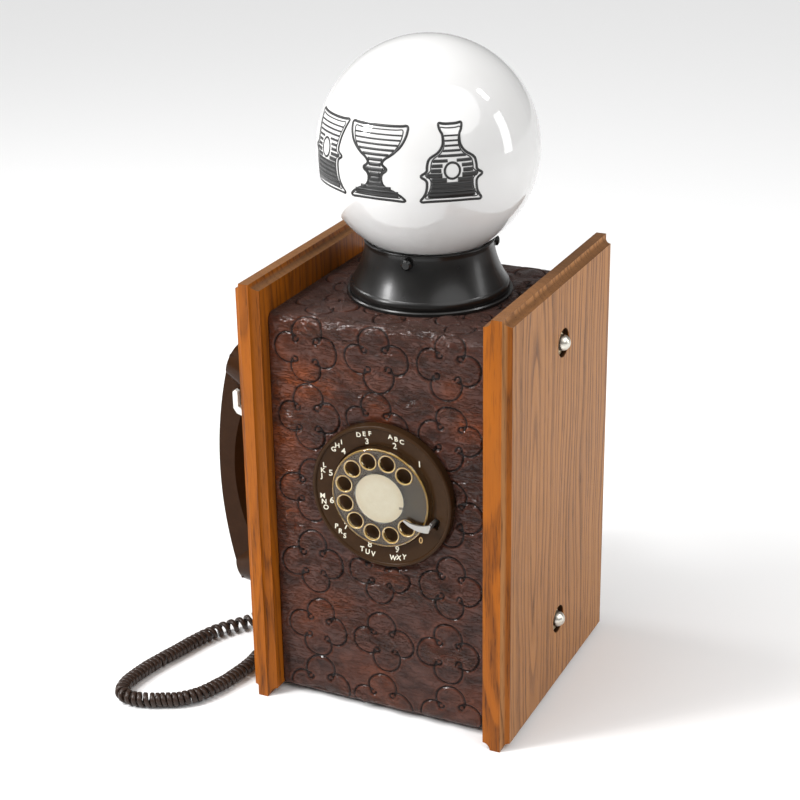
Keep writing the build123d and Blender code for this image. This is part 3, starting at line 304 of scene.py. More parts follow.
def oak(name, side):
    """Oak: a spindle figure towards the front of its faces, straight lines behind, short dark pores."""
    look = Look(name, (0.4, 0.2, 0.08), 0.45, Specular_IOR_Level=0.13)
    x, y, z = look.split(look.place)
    face_x = RIGHT_HIGH.x if side > 0 else LEFT_LOW.x
    sway = look.noise(look.mapped((14, 14, 4.2)), 1.0, 2.0)
    sway = look.times(look.minus(sway, 0.5), RING_SWAY)
    across = look.plus(look.minus(y, HEART_Y), sway)
    along = look.times(look.minus(z, HEART_Z), HEART_RUN)
    sunk = look.times(look.minus(x, face_x), float(side))
    rings = look.distance(across, look.plus(sunk, along))
    uneven = look.node("ShaderNodeCombineXYZ")
    look.feed(uneven.inputs["X"], look.times(rings, 62.0))
    spacing = look.times(look.noise(uneven.outputs["Vector"], 1.0, 1.0), RING_UNEVEN)
    ragged = look.times(look.noise(look.mapped((300, 300, 22)), 1.0, 3.0), RING_RAGGED)
    count = look.plus(look.plus(look.times(rings, RINGS_PER_METRE), spacing), ragged)
    phase = look.math("FRACT", count)
    late = look.ramp(phase, (0.0, 1.0), (0.14, 0.80), (0.36, 0.30), (0.60, 0.0), (0.90, 0.12), (1.0, 1.0))
    patchy = look.ramp(look.noise(look.mapped((26, 26, 5)), 1.0, 2.0), (0.34, 0.60), (0.62, 1.0))
    late = look.times(late, patchy)
    pores = look.noise(look.mapped((1150, 1150, 48)), 1.0, 2.0, 0.6)
    pores = look.ramp(pores, (0.37, 1.0), (0.45, 0.0))
    pores = look.times(pores, look.plus(look.times(late, 0.7), 0.30))
    fibre = look.noise(look.mapped((800, 800, 13)), 1.0, 3.0)
    cloud = look.noise(look.mapped((20, 20, 6)), 1.0, 4.0)
    normal = look.split(look.node("ShaderNodeNewGeometry").outputs["Normal"])
    outside = look.ramp(look.times(normal[0], float(side)), (0.55, 0.0), (0.8, 1.0))
    upward = look.ramp(look.math("ABSOLUTE", normal[2]), (0.25, 0.0), (0.6, 1.0))
    flat_late = look.times(late, look.minus(1.0, look.times(upward, 0.7)))
    face = look.mix(flat_late, FACE_EARLY, FACE_LATE)
    face = look.mix(look.ramp(fibre, (0.3, 0.0), (0.75, 0.45)), face, FACE_FIBRE)
    edge = look.mix(flat_late, EDGE_EARLY, EDGE_LATE)
    edge = look.mix(look.ramp(fibre, (0.3, 0.0), (0.75, 0.30)), edge, EDGE_FIBRE)
    colour = look.mix(outside, edge, face)
    colour = look.mix(upward, colour, look.mix(flat_late, END_EARLY, END_LATE))
    colour = look.mix(look.ramp(cloud, (0.40, 0.0), (0.72, 0.34)), colour, OAK_STAIN)
    colour = look.mix(look.times(pores, 0.78), colour, OAK_PORE)
    # Painted shade: the counterbores round the rods' nuts are darkened below the panel's face, where shade
    # falls.
    gap = 1.0
    for rod_z in ROD_HEIGHTS:
        gap = look.math("MINIMUM", gap, look.distance(look.minus(y, ROD_Y), look.minus(z, rod_z)))
    bore_shade_mask = look.ramp(look.math("DIVIDE", gap, BORE_R * 2), (0.0, 1.0), (0.487, 1.0), (0.5, 0.0))
    below_face = look.ramp(look.times(sunk, -100.0), (0.02, 0.0), (0.10, 1.0))
    colour = look.mix(look.times(bore_shade_mask, below_face), colour, BORE_PAINTED_SHADE)
    look.set("Base Color", colour)
    look.set("Roughness", look.ramp(fibre, (0.2, 0.34), (0.8, 0.50)))
    height = look.minus(look.times(fibre, 0.25), pores)
    look.bump(height, 0.30, 0.00025)
    return look


LEATHER_DARK, LEATHER_PALE = (0.014, 0.0050, 0.0035), (0.078, 0.0310, 0.0220)
LEATHER_RED, LEATHER_WARM = (0.075, 0.018, 0.008), (0.100, 0.027, 0.011)
LEATHER_TORN, LEATHER_LIP = (0.20, 0.045, 0.010), (0.115, 0.028, 0.011)
# The crease line colour is partly worn leather and partly a painted highlight.
LEATHER_CREASE_WEAR_AND_HIGHLIGHT, LEATHER_GROOVE = (0.25, 0.140, 0.105), (0.006, 0.003, 0.0025)
LEATHER_DUST = ((0.026, 0.014, 0.012), (0.062, 0.040, 0.035))


def leather_look():
    """Antique leather: near black in the grooves, rubbed to orange brown, with a waxed gloss and painted
    highlights along its creases.
    """
    look = Look("antique_leather", (0.05, 0.015, 0.01), 0.35, Specular_IOR_Level=0.05, Coat_Weight=0.40,
                Coat_Roughness=0.12)
    groove, crease, rub, lip = (look.node("ShaderNodeAttribute", attribute_name=mask).outputs["Fac"]
                                for mask in ("groove", "crease", "rub", "groove_side"))
    patches = look.noise(look.place, 19.0, 5.0, 0.65, 0.8)
    smear = look.noise(look.mapped((42, 42, 60)), 1.0, 5.0, 0.60, 1.2)
    spots = look.noise(look.place, 75.0, 6.0, 0.7)
    tears = look.noise(look.place, 48.0, 5.0, 0.7)
    grain = look.cells(look.place, 1000.0)
    fine = look.noise(look.place, 1500.0, 3.0)
    veins = look.noise(look.mapped((95, 95, 420), turn=(0, 0.16, 0)), 1.0, 5.0, 0.62, 1.1)
    cracks = look.ramp(look.math("ABSOLUTE", look.minus(veins, 0.5)), (0.0, 1.0), (0.035, 0.0))
    base = look.mix(look.ramp(smear, (0.30, 0.0), (0.70, 1.0)), LEATHER_DARK, LEATHER_PALE)
    base = look.mix(look.ramp(patches, (0.52, 0.0), (0.70, 0.55)), base, LEATHER_RED)
    base = look.mix(look.ramp(spots, (0.58, 0.0), (0.76, 0.5)), base, LEATHER_WARM)
    torn = look.times(rub, look.ramp(tears, (0.36, 0.2), (0.62, 1.0)))
    base = look.mix(torn, base, LEATHER_TORN)
    base = look.mix(look.times(lip, 0.30), base, LEATHER_LIP)
    up = look.split(look.node("ShaderNodeNewGeometry").outputs["Normal"])[2]
    dust = look.times(look.ramp(up, (0.6, 0.0), (0.95, 1.0)), 0.7)
    base = look.mix(dust, base, look.mix(smear, *LEATHER_DUST))
    # Painted highlight, partly real wear: the fine crease lines are lightened, most where the leather is
    # creased.
    crease_wear_and_highlight = look.times(cracks, look.plus(look.times(crease, 0.80), 0.08))
    base = look.mix(crease_wear_and_highlight, base, LEATHER_CREASE_WEAR_AND_HIGHLIGHT)
    base = look.mix(look.ramp(groove, (0.15, 0.0), (0.75, 0.95)), base, LEATHER_GROOVE)
    look.set("Base Color", base)
    look.set("Roughness", look.ramp(patches, (0.25, 0.25), (0.75, 0.42)))
    height = look.plus(look.times(grain, 0.35), look.times(fine, 0.35))
    under = look.bump(height, 0.28, 0.00026)
    wrinkle = look.times(cracks, look.plus(crease, 0.10))
    wrinkle = look.plus(look.times(smear, 0.30), wrinkle)
    look.set("Coat Normal", look.bump(wrinkle, 0.95, 0.0026, under))
    return look


def plastic(name, colour, roughness=0.16, scuff=0.05):
    """Moulded plastic with faint scuffs."""
    look = Look(name, colour, roughness, Specular_IOR_Level=0.07)
    cloud = look.noise(look.place, 90.0, 5.0, 0.7)
    dust = look.noise(look.place, 900.0, 3.0, 0.6)
    worn = tuple(min(1.0, c * 1.5 + 0.001) for c in colour)
    look.set("Base Color", look.mix(look.ramp(cloud, (0.45, 0.0), (0.8, 0.6)), colour, worn))
    look.set("Roughness", look.ramp(dust, (0.3, roughness), (0.75, roughness + scuff)))
    look.bump(dust, 0.06, 0.0002)
    return look


def metal(name, colour, roughness=0.25, worn=(0.5, 0.42, 0.3), wear=0.5):
    look = Look(name, colour, roughness, 1.0)
    cloud = look.noise(look.place, 260.0, 5.0, 0.65)
    fine = look.noise(look.mapped((1, 1, 5)), 1400.0, 3.0)
    look.set("Base Color", look.mix(look.ramp(cloud, (0.48, 0.0), (0.72, wear)), colour, worn))
    look.set("Roughness", look.ramp(cloud, (0.3, roughness), (0.7, roughness + 0.2)))
    look.bump(fine, 0.08, 0.0002)
    return look


def plywood():
    look = Look("raw_plywood", (0.5, 0.34, 0.18), 0.7)
    fibre = look.noise(look.mapped((300, 300, 9)), 1.0, 4.0)
    colour = look.mix(look.ramp(fibre, (0.3, 0.0), (0.7, 1.0)), (0.30, 0.185, 0.095), (0.47, 0.32, 0.18))
    look.set("Base Color", colour)
    look.bump(fibre, 0.2, 0.0003)
    return look


def opal():
    """Cased opal glass: white all through, with a polished skin."""
    look = Look("opal_glass", (0.70, 0.70, 0.69), 0.07, Subsurface_Weight=0.25,
                Subsurface_Radius=(0.02, 0.02, 0.02), Coat_Weight=0.6, Coat_Roughness=0.03)
    cloud = look.noise(look.place, 11.0, 3.0)
    look.set("Base Color", look.mix(cloud, (0.70, 0.70, 0.70), (0.66, 0.65, 0.635)))
    return look


def clear_plastic(name, fresh, aged):
    """Clear acrylic, yellowed with age."""
    look = Look(name, (0.80, 0.72, 0.52), 0.05, Transmission_Weight=1.0, IOR=1.49,
                Specular_IOR_Level=0.18)
    cloud = look.noise(look.place, 120.0, 4.0, 0.7)
    look.set("Base Color", look.mix(cloud, fresh, aged))
    look.set("Roughness", look.ramp(look.noise(look.place, 700.0, 3.0), (0.3, 0.03), (0.8, 0.10)))
    return look


def black_paint():
    """Stoved black on spun brass: satin, with hazy handling marks."""
    look = Look("black_enamel", (0.006, 0.0055, 0.005), 0.26, 0.0, Specular_IOR_Level=0.28,
                Coat_Weight=0.22, Coat_Roughness=0.20)
    haze = look.noise(look.place, 40.0, 4.0, 0.5)
    look.set("Base Color", look.mix(haze, (0.0045, 0.0045, 0.0045), (0.011, 0.010, 0.009)))
    look.set("Roughness", look.ramp(haze, (0.3, 0.26), (0.75, 0.38)))
    return look


NOTCH, NOTCH_HALF = (16.9 * MM, -4.5 * MM), (1.3 * MM, 0.95 * MM)  # locating mark of the card


def card_paper():
    look = Look("card_paper", (0.75, 0.68, 0.50), 0.75)
    stain = look.noise(look.place, 210.0, 5.0, 0.7)
    fibre = look.noise(look.place, 2600.0, 2.0)
    x, y, z = look.split(look.place)
    radius = look.distance(look.minus(x, PLATE.x), look.minus(z, PLATE.z))
    edge = look.ramp(look.times(radius, 50.0), (0.62, 0.0), (0.95, 1.0))
    inside = [look.math("LESS_THAN", look.math("ABSOLUTE", look.minus(value, place)), half)
              for value, place, half in ((x, PLATE.x + NOTCH[0], NOTCH_HALF[0]),
                                         (z, PLATE.z + NOTCH[1], NOTCH_HALF[1]))]
    colour = look.mix(look.ramp(stain, (0.35, 0.0), (0.75, 0.6)), (0.90, 0.84, 0.70), (0.80, 0.71, 0.53))
    colour = look.mix(look.times(edge, 0.6), colour, (0.74, 0.62, 0.42))
    colour = look.mix(look.times(fibre, 0.15), colour, (0.5, 0.42, 0.28))
    look.set("Base Color", look.mix(look.times(look.times(*inside), 0.85), colour, (0.10, 0.055, 0.02)))
    return look


BROWN = (0.030, 0.0125, 0.0050)
brown_plastic = plastic("brown_plastic", BROWN)
nickel = metal("worn_nickel", (0.72, 0.69, 0.62), 0.22)
steel = metal("zinc_steel", (0.56, 0.55, 0.52), 0.32, (0.35, 0.30, 0.24), 0.4)
brass = metal("dull_brass", (0.62, 0.43, 0.16), 0.3, (0.30, 0.19, 0.07), 0.6)
rubber = plastic("black_rubber", (0.012, 0.010, 0.009), 0.5, 0.15)
bakelite = plastic("dark_bakelite", (0.018, 0.014, 0.012), 0.28, 0.12)
hook_plastic = plastic("milky_plastic", (0.78, 0.77, 0.72), 0.22, 0.1)
black = black_paint()
clear = clear_plastic("aged_clear_plastic", (0.78, 0.69, 0.46), (0.60, 0.47, 0.24))
wood = plywood()

dress(oak("oak_left", -1), "side_panel_left")
dress(oak("oak_right", 1), "side_panel_right")
dress(wood, "front_board", "top_board", "bottom_board", "back_cover", "back_battens")
dress(plastic("dial_brown", (0.034, 0.0165, 0.0070), 0.18), "number_plate")
dress(brown_plastic, "handset_handle", "ear_cap", "mouth_cap")
dress(clear, "finger_wheel")
dress(clear_plastic("clear_window", (0.98, 0.97, 0.93), (0.95, 0.93, 0.86)), "card_window")
dress(card_paper(), "number_card")
dress(nickel, "cap_nuts")
dress(metal("dull_nickel", (0.40, 0.39, 0.37), 0.36), "finger_stop")
dress(metal("pale_gold", (0.78, 0.66, 0.44), 0.24, (0.52, 0.38, 0.20), 0.45), "eared_washers")
dress(steel, "tie_rods", "dial_frame", "dial_mount_plate", "dial_shaft", "mainspring", "hook_bracket",
      "hook_pin", "hook_spring", "receiver_capsule", "transmitter_capsule", "ringer_frame", "clapper",
      "clapper_pin")
dress(brass, "back_cover_screws", "dial_screws", "main_gear", "governor_spindle", "governor_weights",
      "governor_cup", "hook_bracket_screws", "threaded_nipple", "nipple_nuts", "bulb_base", "gongs",
      "gong_screws", "terminal_screws")
dress(bakelite, "pulse_contacts", "hook_switch", "lamp_socket", "ringer_coils", "network_block")
dress(rubber, "handset_cord_bush", "cabinet_cord_bush", "line_grommet", "mains_grommet")
dress(black, "lamp_fitter", "thumb_screws")
dress(hook_plastic, "hook_fork")
dress(opal(), "globe")
dress(plastic("frosted_bulb", (0.85, 0.85, 0.83), 0.3), "bulb_glass")

# ---- mesh helpers ----


def add_mesh(name, points, faces, look, smooth=True):
    mesh = bpy.data.meshes.new(name)
    mesh.from_pydata([tuple(p) for p in points], [], [tuple(f) for f in faces])
    mesh.validate()
    mesh.materials.append(look.material)
    if smooth:
        mesh.shade_smooth()
    piece = bpy.data.objects.new(name, mesh)
    link(piece)
    return piece


def thicken(piece, thickness, inward=True):
    solid = piece.modifiers.new("thickness", "SOLIDIFY")
    solid.thickness = thickness
    solid.offset = -1.0 if inward else 1.0


# ---- curly cord ----
CORD_ROUTE = [
    (-0.11025, -0.0090, 0.0347), (-0.11025, -0.0090, 0.0240), (-0.11525, -0.0120, 0.0125),
    (-0.12675, -0.0185, 0.0061), (-0.14075, -0.0360, 0.0061), (-0.15025, -0.0600, 0.0061),
    (-0.15725, -0.0880, 0.0061), (-0.16335, -0.1100, 0.0061), (-0.16555, -0.1290, 0.0061),
    (-0.16555, -0.1460, 0.0061), (-0.16015, -0.1542, 0.0061), (-0.15075, -0.1570, 0.0061),
    (-0.13525, -0.1525, 0.0061), (-0.11875, -0.1450, 0.0061), (-0.10625, -0.1345, 0.0061),
    (-0.09725, -0.1115, 0.0061), (-0.09125, -0.0820, 0.0061), (-0.09175, -0.0590, 0.0076),
    (-0.09025, -0.0430, 0.0131), (-0.08625, -0.0330, 0.0181), (-0.07775, -0.0300, 0.0200),
]
COIL_R, WIRE_R = 5.75 * MM, 1.85 * MM
WIRE_HALF_WIDTH, WIRE_HALF_DEPTH = 1.92 * MM, 1.62 * MM  # the wire is pressed flat between its turns
TURN_POINTS, WIRE_SIDES = 16, 12
STATION = 0.25 * MM  # distance between worked places of the route
HANG_AT, HANG_HALF = 0.052, 0.030  # place and half length of the drop, along the route
HANG_OPEN = 0.75  # share by which its own weight draws the turns open there
GAPS, GAP_HALF, GAP_START = 9, 3.5 * MM, 0.10  # single wider gaps between turns farther on
GAP_LEAST, GAP_MOST = 0.15, 0.45  # shares of the turn's pitch
SHIFT, LEAN = 0.62, 0.55  # mm that turns shift sideways and lean along
SMOOTH_HALF = 12  # stations averaged to each side for the direction
TAPER = 4.5 * MM  # the coil closes to its centre line at both ends


def route_points():
    """Points along the route's NURBS spline."""
    curve = bpy.data.curves.new("route", "CURVE")
    curve.dimensions = "3D"
    spline = curve.splines.new("NURBS")
    spline.points.add(len(CORD_ROUTE) - 1)
    for point, place in zip(spline.points, CORD_ROUTE):
        point.co = (*place, 1)
    spline.order_u = 3
    spline.use_endpoint_u = True
    spline.resolution_u = 24
    holder = bpy.data.objects.new("route", curve)
    link(holder)
    bpy.context.view_layer.update()
    line = bpy.data.meshes.new_from_object(holder)
    points = np.array([v.co for v in line.vertices])
    bpy.data.objects.remove(holder)
    return points


def helix_points():
    """Centre line of the coiled wire and its outward directions; turns open where the cord hangs, and lean
    and shift a little."""
    points = route_points()
    steps = np.linalg.norm(np.diff(points, axis=0), axis=1)
    travel = np.concatenate([[0], np.cumsum(steps)])
    stations = np.arange(0, travel[-1], STATION)
    path = np.stack([np.interp(stations, travel, points[:, k]) for k in range(3)], axis=1)
    ahead = np.gradient(path, axis=0)
    ahead /= np.linalg.norm(ahead, axis=1)[:, None]
    smooth = np.ones(2 * SMOOTH_HALF + 1) / (2 * SMOOTH_HALF + 1)
    ahead = np.stack([np.convolve(np.pad(ahead[:, k], SMOOTH_HALF, "edge"), smooth, "valid")
                      for k in range(3)], 1)
    ahead /= np.linalg.norm(ahead, axis=1)[:, None]
    bend = np.linalg.norm(np.gradient(ahead, axis=0), axis=1) / STATION
    swing = COIL_R - WIRE_HALF_DEPTH
    tight = 2 * WIRE_HALF_WIDTH * 1.02 / np.clip(1 - bend * swing, 0.35, 1)
    opened = 1 + HANG_OPEN * np.exp(-((stations - HANG_AT) / HANG_HALF) ** 2)
    rng = np.random.default_rng(21)
    for place in rng.uniform(GAP_START, travel[-1] - 0.01, GAPS):
        opened += rng.uniform(GAP_LEAST, GAP_MOST) * np.exp(-((stations - place) / GAP_HALF) ** 2)
    pitch = tight * opened
    angle = np.cumsum(2 * math.pi * STATION / pitch)
    turns = int(angle[-1] / (2 * math.pi)) + 3
    bunch = np.repeat(rng.uniform(-1, 1, (turns, 4)), rng.integers(2, 5, turns), axis=0)[:turns]
    knots = 0.65 * bunch + 0.35 * rng.uniform(-1, 1, (turns, 4))
    drift = [np.interp(angle / (2 * math.pi), np.arange(turns), knots[:, k]) for k in range(4)]
    ends = np.minimum(1, np.minimum(stations, travel[-1] - stations) / TAPER)
    side = np.zeros_like(path)
    side[0] = np.cross(ahead[0], (0.0, 1.0, 0.0))
    for k in range(1, len(path)):
        carried = side[k - 1] - ahead[k] * np.dot(side[k - 1], ahead[k])
        side[k] = carried / np.linalg.norm(carried)
    other = np.cross(ahead, side)
    loose = (ends * MM)[:, None]
    middle_line = path + loose * SHIFT * (drift[0][:, None] * side + drift[1][:, None] * other)
    middle_line[:, 2] = np.maximum(middle_line[:, 2], path[:, 2])
    lean = LEAN * (drift[2] * np.cos(angle) + drift[3] * np.sin(angle))[:, None]
    outward = np.cos(angle)[:, None] * side + np.sin(angle)[:, None] * other
    coil = middle_line + (swing * ends)[:, None] * outward + loose * lean * ahead
    length = np.concatenate([[0], np.cumsum(np.linalg.norm(np.diff(coil, axis=0), axis=1))])
    count = int(angle[-1] / (2 * math.pi) * TURN_POINTS)
    marks = np.linspace(0, length[-1], count)
    pick = lambda rows: np.stack([np.interp(marks, length, rows[:, k]) for k in range(3)], axis=1)
    return pick(coil), pick(outward), length[-1]


def tube(name, path, outward, half_width, half_depth, sides, look):
    """Flat-sided wire along a list of points, closed at both ends."""
    ahead = np.gradient(path, axis=0)
    ahead /= np.linalg.norm(ahead, axis=1)[:, None]
    outward = outward - ahead * (outward * ahead).sum(1)[:, None]
    outward /= np.linalg.norm(outward, axis=1)[:, None]
    along = np.cross(ahead, outward)
    turns = 2 * math.pi * np.arange(sides) / sides
    square = lambda value: np.sign(value) * np.abs(value) ** 0.68
    deep, wide = half_depth * square(np.cos(turns)), half_width * square(np.sin(turns))
    points = (path[:, None, :] + deep[None, :, None] * outward[:, None, :]
              + wide[None, :, None] * along[:, None, :]).reshape(-1, 3)
    faces = []
    for near in range(0, (len(path) - 1) * sides, sides):
        for turn in range(sides):
            after = (turn + 1) % sides
            faces.append((near + turn, near + after, near + sides + after, near + sides + turn))
    faces.append(tuple(reversed(range(sides))))
    faces.append(tuple((len(path) - 1) * sides + turn for turn in range(sides)))
    return add_mesh(name, points, faces, look)


def make_cord():
    path, outward, length = helix_points()
    vinyl = plastic("cord_vinyl", (0.030, 0.0175, 0.0125), 0.26, 0.10)
    vinyl.set("Specular IOR Level", 0.28)
    cord = tube("curly_cord_coil", path, outward, WIRE_HALF_WIDTH, WIRE_HALF_DEPTH, WIRE_SIDES, vinyl)
    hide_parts("curly_cord")
    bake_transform(cord)


make_cord()

# ---- leather cover ----
STEP = 0.7  # grid pitch on the front and top, mm
HIDDEN_STEP = 1.6  # grid pitch underneath and behind
# Places on the cover are (x, s): across from its middle, and up the front and on over the top, in mm.
# Creased places and rubbed places: (x, s, half width, half height).
CREASES = ((30, 257, 52, 8), (-64, 228, 22, 15), (0, 110, 60, 10), (74, 200, 15, 34), (-72, 150, 16, 22),
           (-8, 62, 26, 8), (52, 60, 20, 7), (-40, 300, 30, 9), (35, 312, 26, 9), (0, 352, 60, 9))
RUBS = ((-78, 215, 13, 75), (-60, 262, 26, 16), (72, 245, 16, 10))
EDGE_R, RETURN, LEATHER_T = 7.0, 14.0, 2.2  # rounded long edges, turned-over width, thickness
LOBE_R, LOBE_OUT, CURL_R, CURL_OUT = 11.2, 13.6, 2.1, 8.2
CURL_IN = 0.6  # the curls sit this much inside the loops' crossing
MOTIF_X = (-54.5, -0.5, 54.0)
MOTIF_S = (-150, -97, -44, 10.0, 61.0, 118.0, 175.0, 235.0, 286.0, 339.0, 391.0, 443.0, 495.0)
MOTIF_HALF = 30  # half size of the window that holds one motif
FAR = 99.0  # stands for no tooled line near
LINE_HALF, LIP_AT, LIP_HALF = 0.66, 1.7, 0.9  # tooled line and the lip pressed up beside it
LINE_DEPTH, LIP_HEIGHT, PUFF_HEIGHT, SWELL_HEIGHT = 1.25, 0.30, 1.5, 1.4
SEAT_R, SEAT_EDGE, SEAT_DEPTH = 57.0, 2.0, 0.5  # pressed flat under the dial's plate
ROLL_R, ROLL_HALF, ROLL_HEIGHT = 61.0, 3.0, 4.4  # padded roll under the dial
VALLEY_R, VALLEY_HALF, VALLEY_DEPTH = 66.8, 1.5, 0.9
ROLL_BEARING, ROLL_SPAN, VALLEY_SPAN = -90, 27, 32  # degrees round the dial
LEATHER_DEEP, LEATHER_PROUD = 2.3, 4.4  # lowest and highest the skin may lie from the plain sheet
SIDE_EDGE, SIDE_DEPTH = 2.2, 0.9  # the sheet turns in against the side panels
FITTER_CLEAR, FITTER_EDGE, FITTER_DEPTH = 64.5, 3.0, 0.3  # pressed flat under the lamp's flange
UNSEEN_RELIEF = 0.4  # the pattern is pressed shallow below and behind
DIAL_HOLE_R, LAMP_HOLE_R = 45.5, 6.5  # cut out for the dial's works and the lamp's nipple


def lattice(u, v, seed):
    """Smooth random field from 0 to 1 on a unit lattice."""
    table = np.random.default_rng(seed).random((257, 257))
    iu, iv = np.floor(u).astype(int), np.floor(v).astype(int)
    fu, fv = u - iu, v - iv
    fu, fv = fu * fu * (3 - 2 * fu), fv * fv * (3 - 2 * fv)
    pick = lambda a, b: table[(iu + a) % 256, (iv + b) % 256]
    return ((pick(0, 0) * (1 - fu) + pick(1, 0) * fu) * (1 - fv)
            + (pick(0, 1) * (1 - fu) + pick(1, 1) * fu) * fv)


def quatrefoil():
    """Tooled line of one motif: four loops with a curl at each inner crossing."""
    points = []
    for quarter in range(4):
        turn = quarter * math.pi / 2
        for t in np.linspace(math.radians(-33), math.radians(213), 90):
            points.append((LOBE_R * math.cos(t), LOBE_OUT + LOBE_R * math.sin(t), turn))
        for t in np.linspace(0, 1.6 * math.pi, 26):
            points.append((CURL_OUT - CURL_IN + CURL_R * math.cos(t),
                           CURL_OUT - CURL_IN + CURL_R * math.sin(t), turn))
    return np.array([(x * math.cos(a) - y * math.sin(a), x * math.sin(a) + y * math.cos(a))
                     for x, y, a in points])


def leather_profile():
    """The cover's section, from its return on the back, under, up the front and over the top: places,
    outward normals and travelled length, in millimetres of the cabinet (y, z)."""
    y0, y1 = (BODY_LOW.y - CAB_Y) / MM, (BODY_HIGH.y - CAB_Y) / MM
    z0, z1 = BODY_LOW.z / MM, BODY_HIGH.z / MM
    r = EDGE_R
    places, normals = [], []

    def straight(start, end, normal, step=STEP):
        count = max(2, int(math.dist(start, end) / step))
        for t in np.arange(count) / count:
            places.append((start[0] + (end[0] - start[0]) * t, start[1] + (end[1] - start[1]) * t))
            normals.append(normal)

    def corner(centre, first, last):
        count = max(4, int(r * math.radians(abs(last - first)) / STEP))
        for t in np.arange(count) / count:
            a = math.radians(first + (last - first) * t)
            places.append((centre[0] + r * math.cos(a), centre[1] + r * math.sin(a)))
            normals.append((math.cos(a), math.sin(a)))

    straight((y1, z0 + RETURN), (y1, z0 + r), (1, 0), HIDDEN_STEP)
    corner((y1 - r, z0 + r), 0, -90)
    straight((y1 - r, z0), (y0 + r, z0), (0, -1), HIDDEN_STEP)
    corner((y0 + r, z0 + r), -90, -180)
    straight((y0, z0 + r), (y0, z1 - r), (-1, 0))
    corner((y0 + r, z1 - r), 180, 90)
    straight((y0 + r, z1), (y1 - r, z1), (0, 1))
    corner((y1 - r, z1 - r), 90, 0)
    straight((y1, z1 - r), (y1, z1 - RETURN), (1, 0))
    places.append((y1, z1 - RETURN))
    normals.append((1, 0))
    places, normals = np.array(places), np.array(normals)
    steps = np.linalg.norm(np.diff(places, axis=0), axis=1)
    return places, normals, np.concatenate([[0], np.cumsum(steps)])


def tooling(grid_x, grid_s):
    """Distance to the nearest tooled line, and the padding's rise from 0 to 1."""
    xs, s = grid_x[0], grid_s[:, 0]
    groove, puff = np.full(grid_x.shape, FAR), np.zeros(grid_x.shape)
    motif = quatrefoil()
    rng = random.Random(11)
    for row, column in itertools.product(MOTIF_S, MOTIF_X):
        cx, cs = column + rng.uniform(-1.5, 1.5), row + rng.uniform(-2, 2) + 0.02 * column
        turn, size = math.radians(rng.uniform(-5, 5)), rng.uniform(0.97, 1.04)
        near_x = np.abs(xs - cx) < MOTIF_HALF
        near_s = np.abs(s - cs) < MOTIF_HALF
        if not near_x.any() or not near_s.any():
            continue
        window = np.ix_(near_s, near_x)
        dx, ds = grid_x[window] - cx, grid_s[window] - cs
        wave = 0.9 * np.sin(ds / 9 + column) + 0.6 * np.sin(dx / 7 + row)
        u = (dx * math.cos(turn) + ds * math.sin(turn)) / size + wave
        v = (-dx * math.sin(turn) + ds * math.cos(turn)) / size + wave * 0.6
        flat = np.stack([u.ravel(), v.ravel()], 1)
        best = np.full(len(flat), FAR)
        for chunk in np.array_split(motif, 12):
            gap = np.hypot(flat[:, None, 0] - chunk[None, :, 0], flat[:, None, 1] - chunk[None, :, 1])
            best = np.minimum(best, gap.min(1))
        groove[window] = np.minimum(groove[window], best.reshape(u.shape))
        inside = np.minimum(np.abs(u), np.abs(v))
        reach = np.maximum(np.abs(u), np.abs(v))
        puff[window] += np.clip(1 - inside / 10, 0, 1) * np.clip(1 - ((reach - 14) / 11) ** 2, 0, 1)
    return groove, puff


def wear(grid_x, grid_s):
    """How creased and how rubbed the leather is, from 0 to 1."""
    creased = np.clip(lattice(grid_x / 34 + 9, grid_s / 26 + 9, 6) * 2.4 - 1.45, 0, 0.45)
    for cx, cs, wide, high in CREASES:
        creased = np.maximum(creased, np.exp(-((grid_x - cx) / wide) ** 4 - ((grid_s - cs) / high) ** 2))
    rubbed = np.clip(lattice(grid_x / 30 + 60, grid_s / 30 + 30, 16) * 2.2 - 1.5, 0, 0.35)
    for cx, cs, wide, high in RUBS:
        rubbed = np.maximum(rubbed, np.exp(-((grid_x - cx) / wide) ** 2 - ((grid_s - cs) / high) ** 2))
    return creased, rubbed


def free_relief(grid_x, grid_s, line, lip, puff, creased):
    """Rise of the skin in mm where nothing presses on it, and how deep its creases cut, from 0 to 1."""
    warp_x = grid_x + 9 * lattice(grid_x / 23 + 40, grid_s / 23 + 40, 3)
    warp_s = grid_s + 0.16 * grid_x + 11 * lattice(grid_x / 19 + 70, grid_s / 31 + 70, 4)
    fold = 1 - np.abs(2 * lattice(warp_x / 24 + 50, warp_s / 4.6 + 50, 5) - 1)
    small = 1 - np.abs(2 * lattice(warp_x / 11 + 20, warp_s / 2.6 + 20, 15) - 1)
    cut_in = creased * np.clip(fold - 0.70, 0, 1) * 2.0
    ridges = creased * np.clip(small - 0.62, 0, 1) * 2.6
    swell = lattice(grid_x / 30 + 5, grid_s / 27 + 5, 8) - 0.5
    lump = lattice(grid_x / 8 + 15, grid_s / 7 + 15, 9) - 0.5
    ripple = lattice(warp_x / 11 + 25, warp_s / 3.6 + 25, 19) - 0.5
    out = -LINE_DEPTH * line + LIP_HEIGHT * lip + PUFF_HEIGHT * puff + SWELL_HEIGHT * swell
    out += 1.5 * lump * (0.5 + creased)
    out += (0.25 + 1.75 * creased) * ripple + (1.15 * ridges - 1.3 * cut_in) * (1 - line)
    return out, cut_in


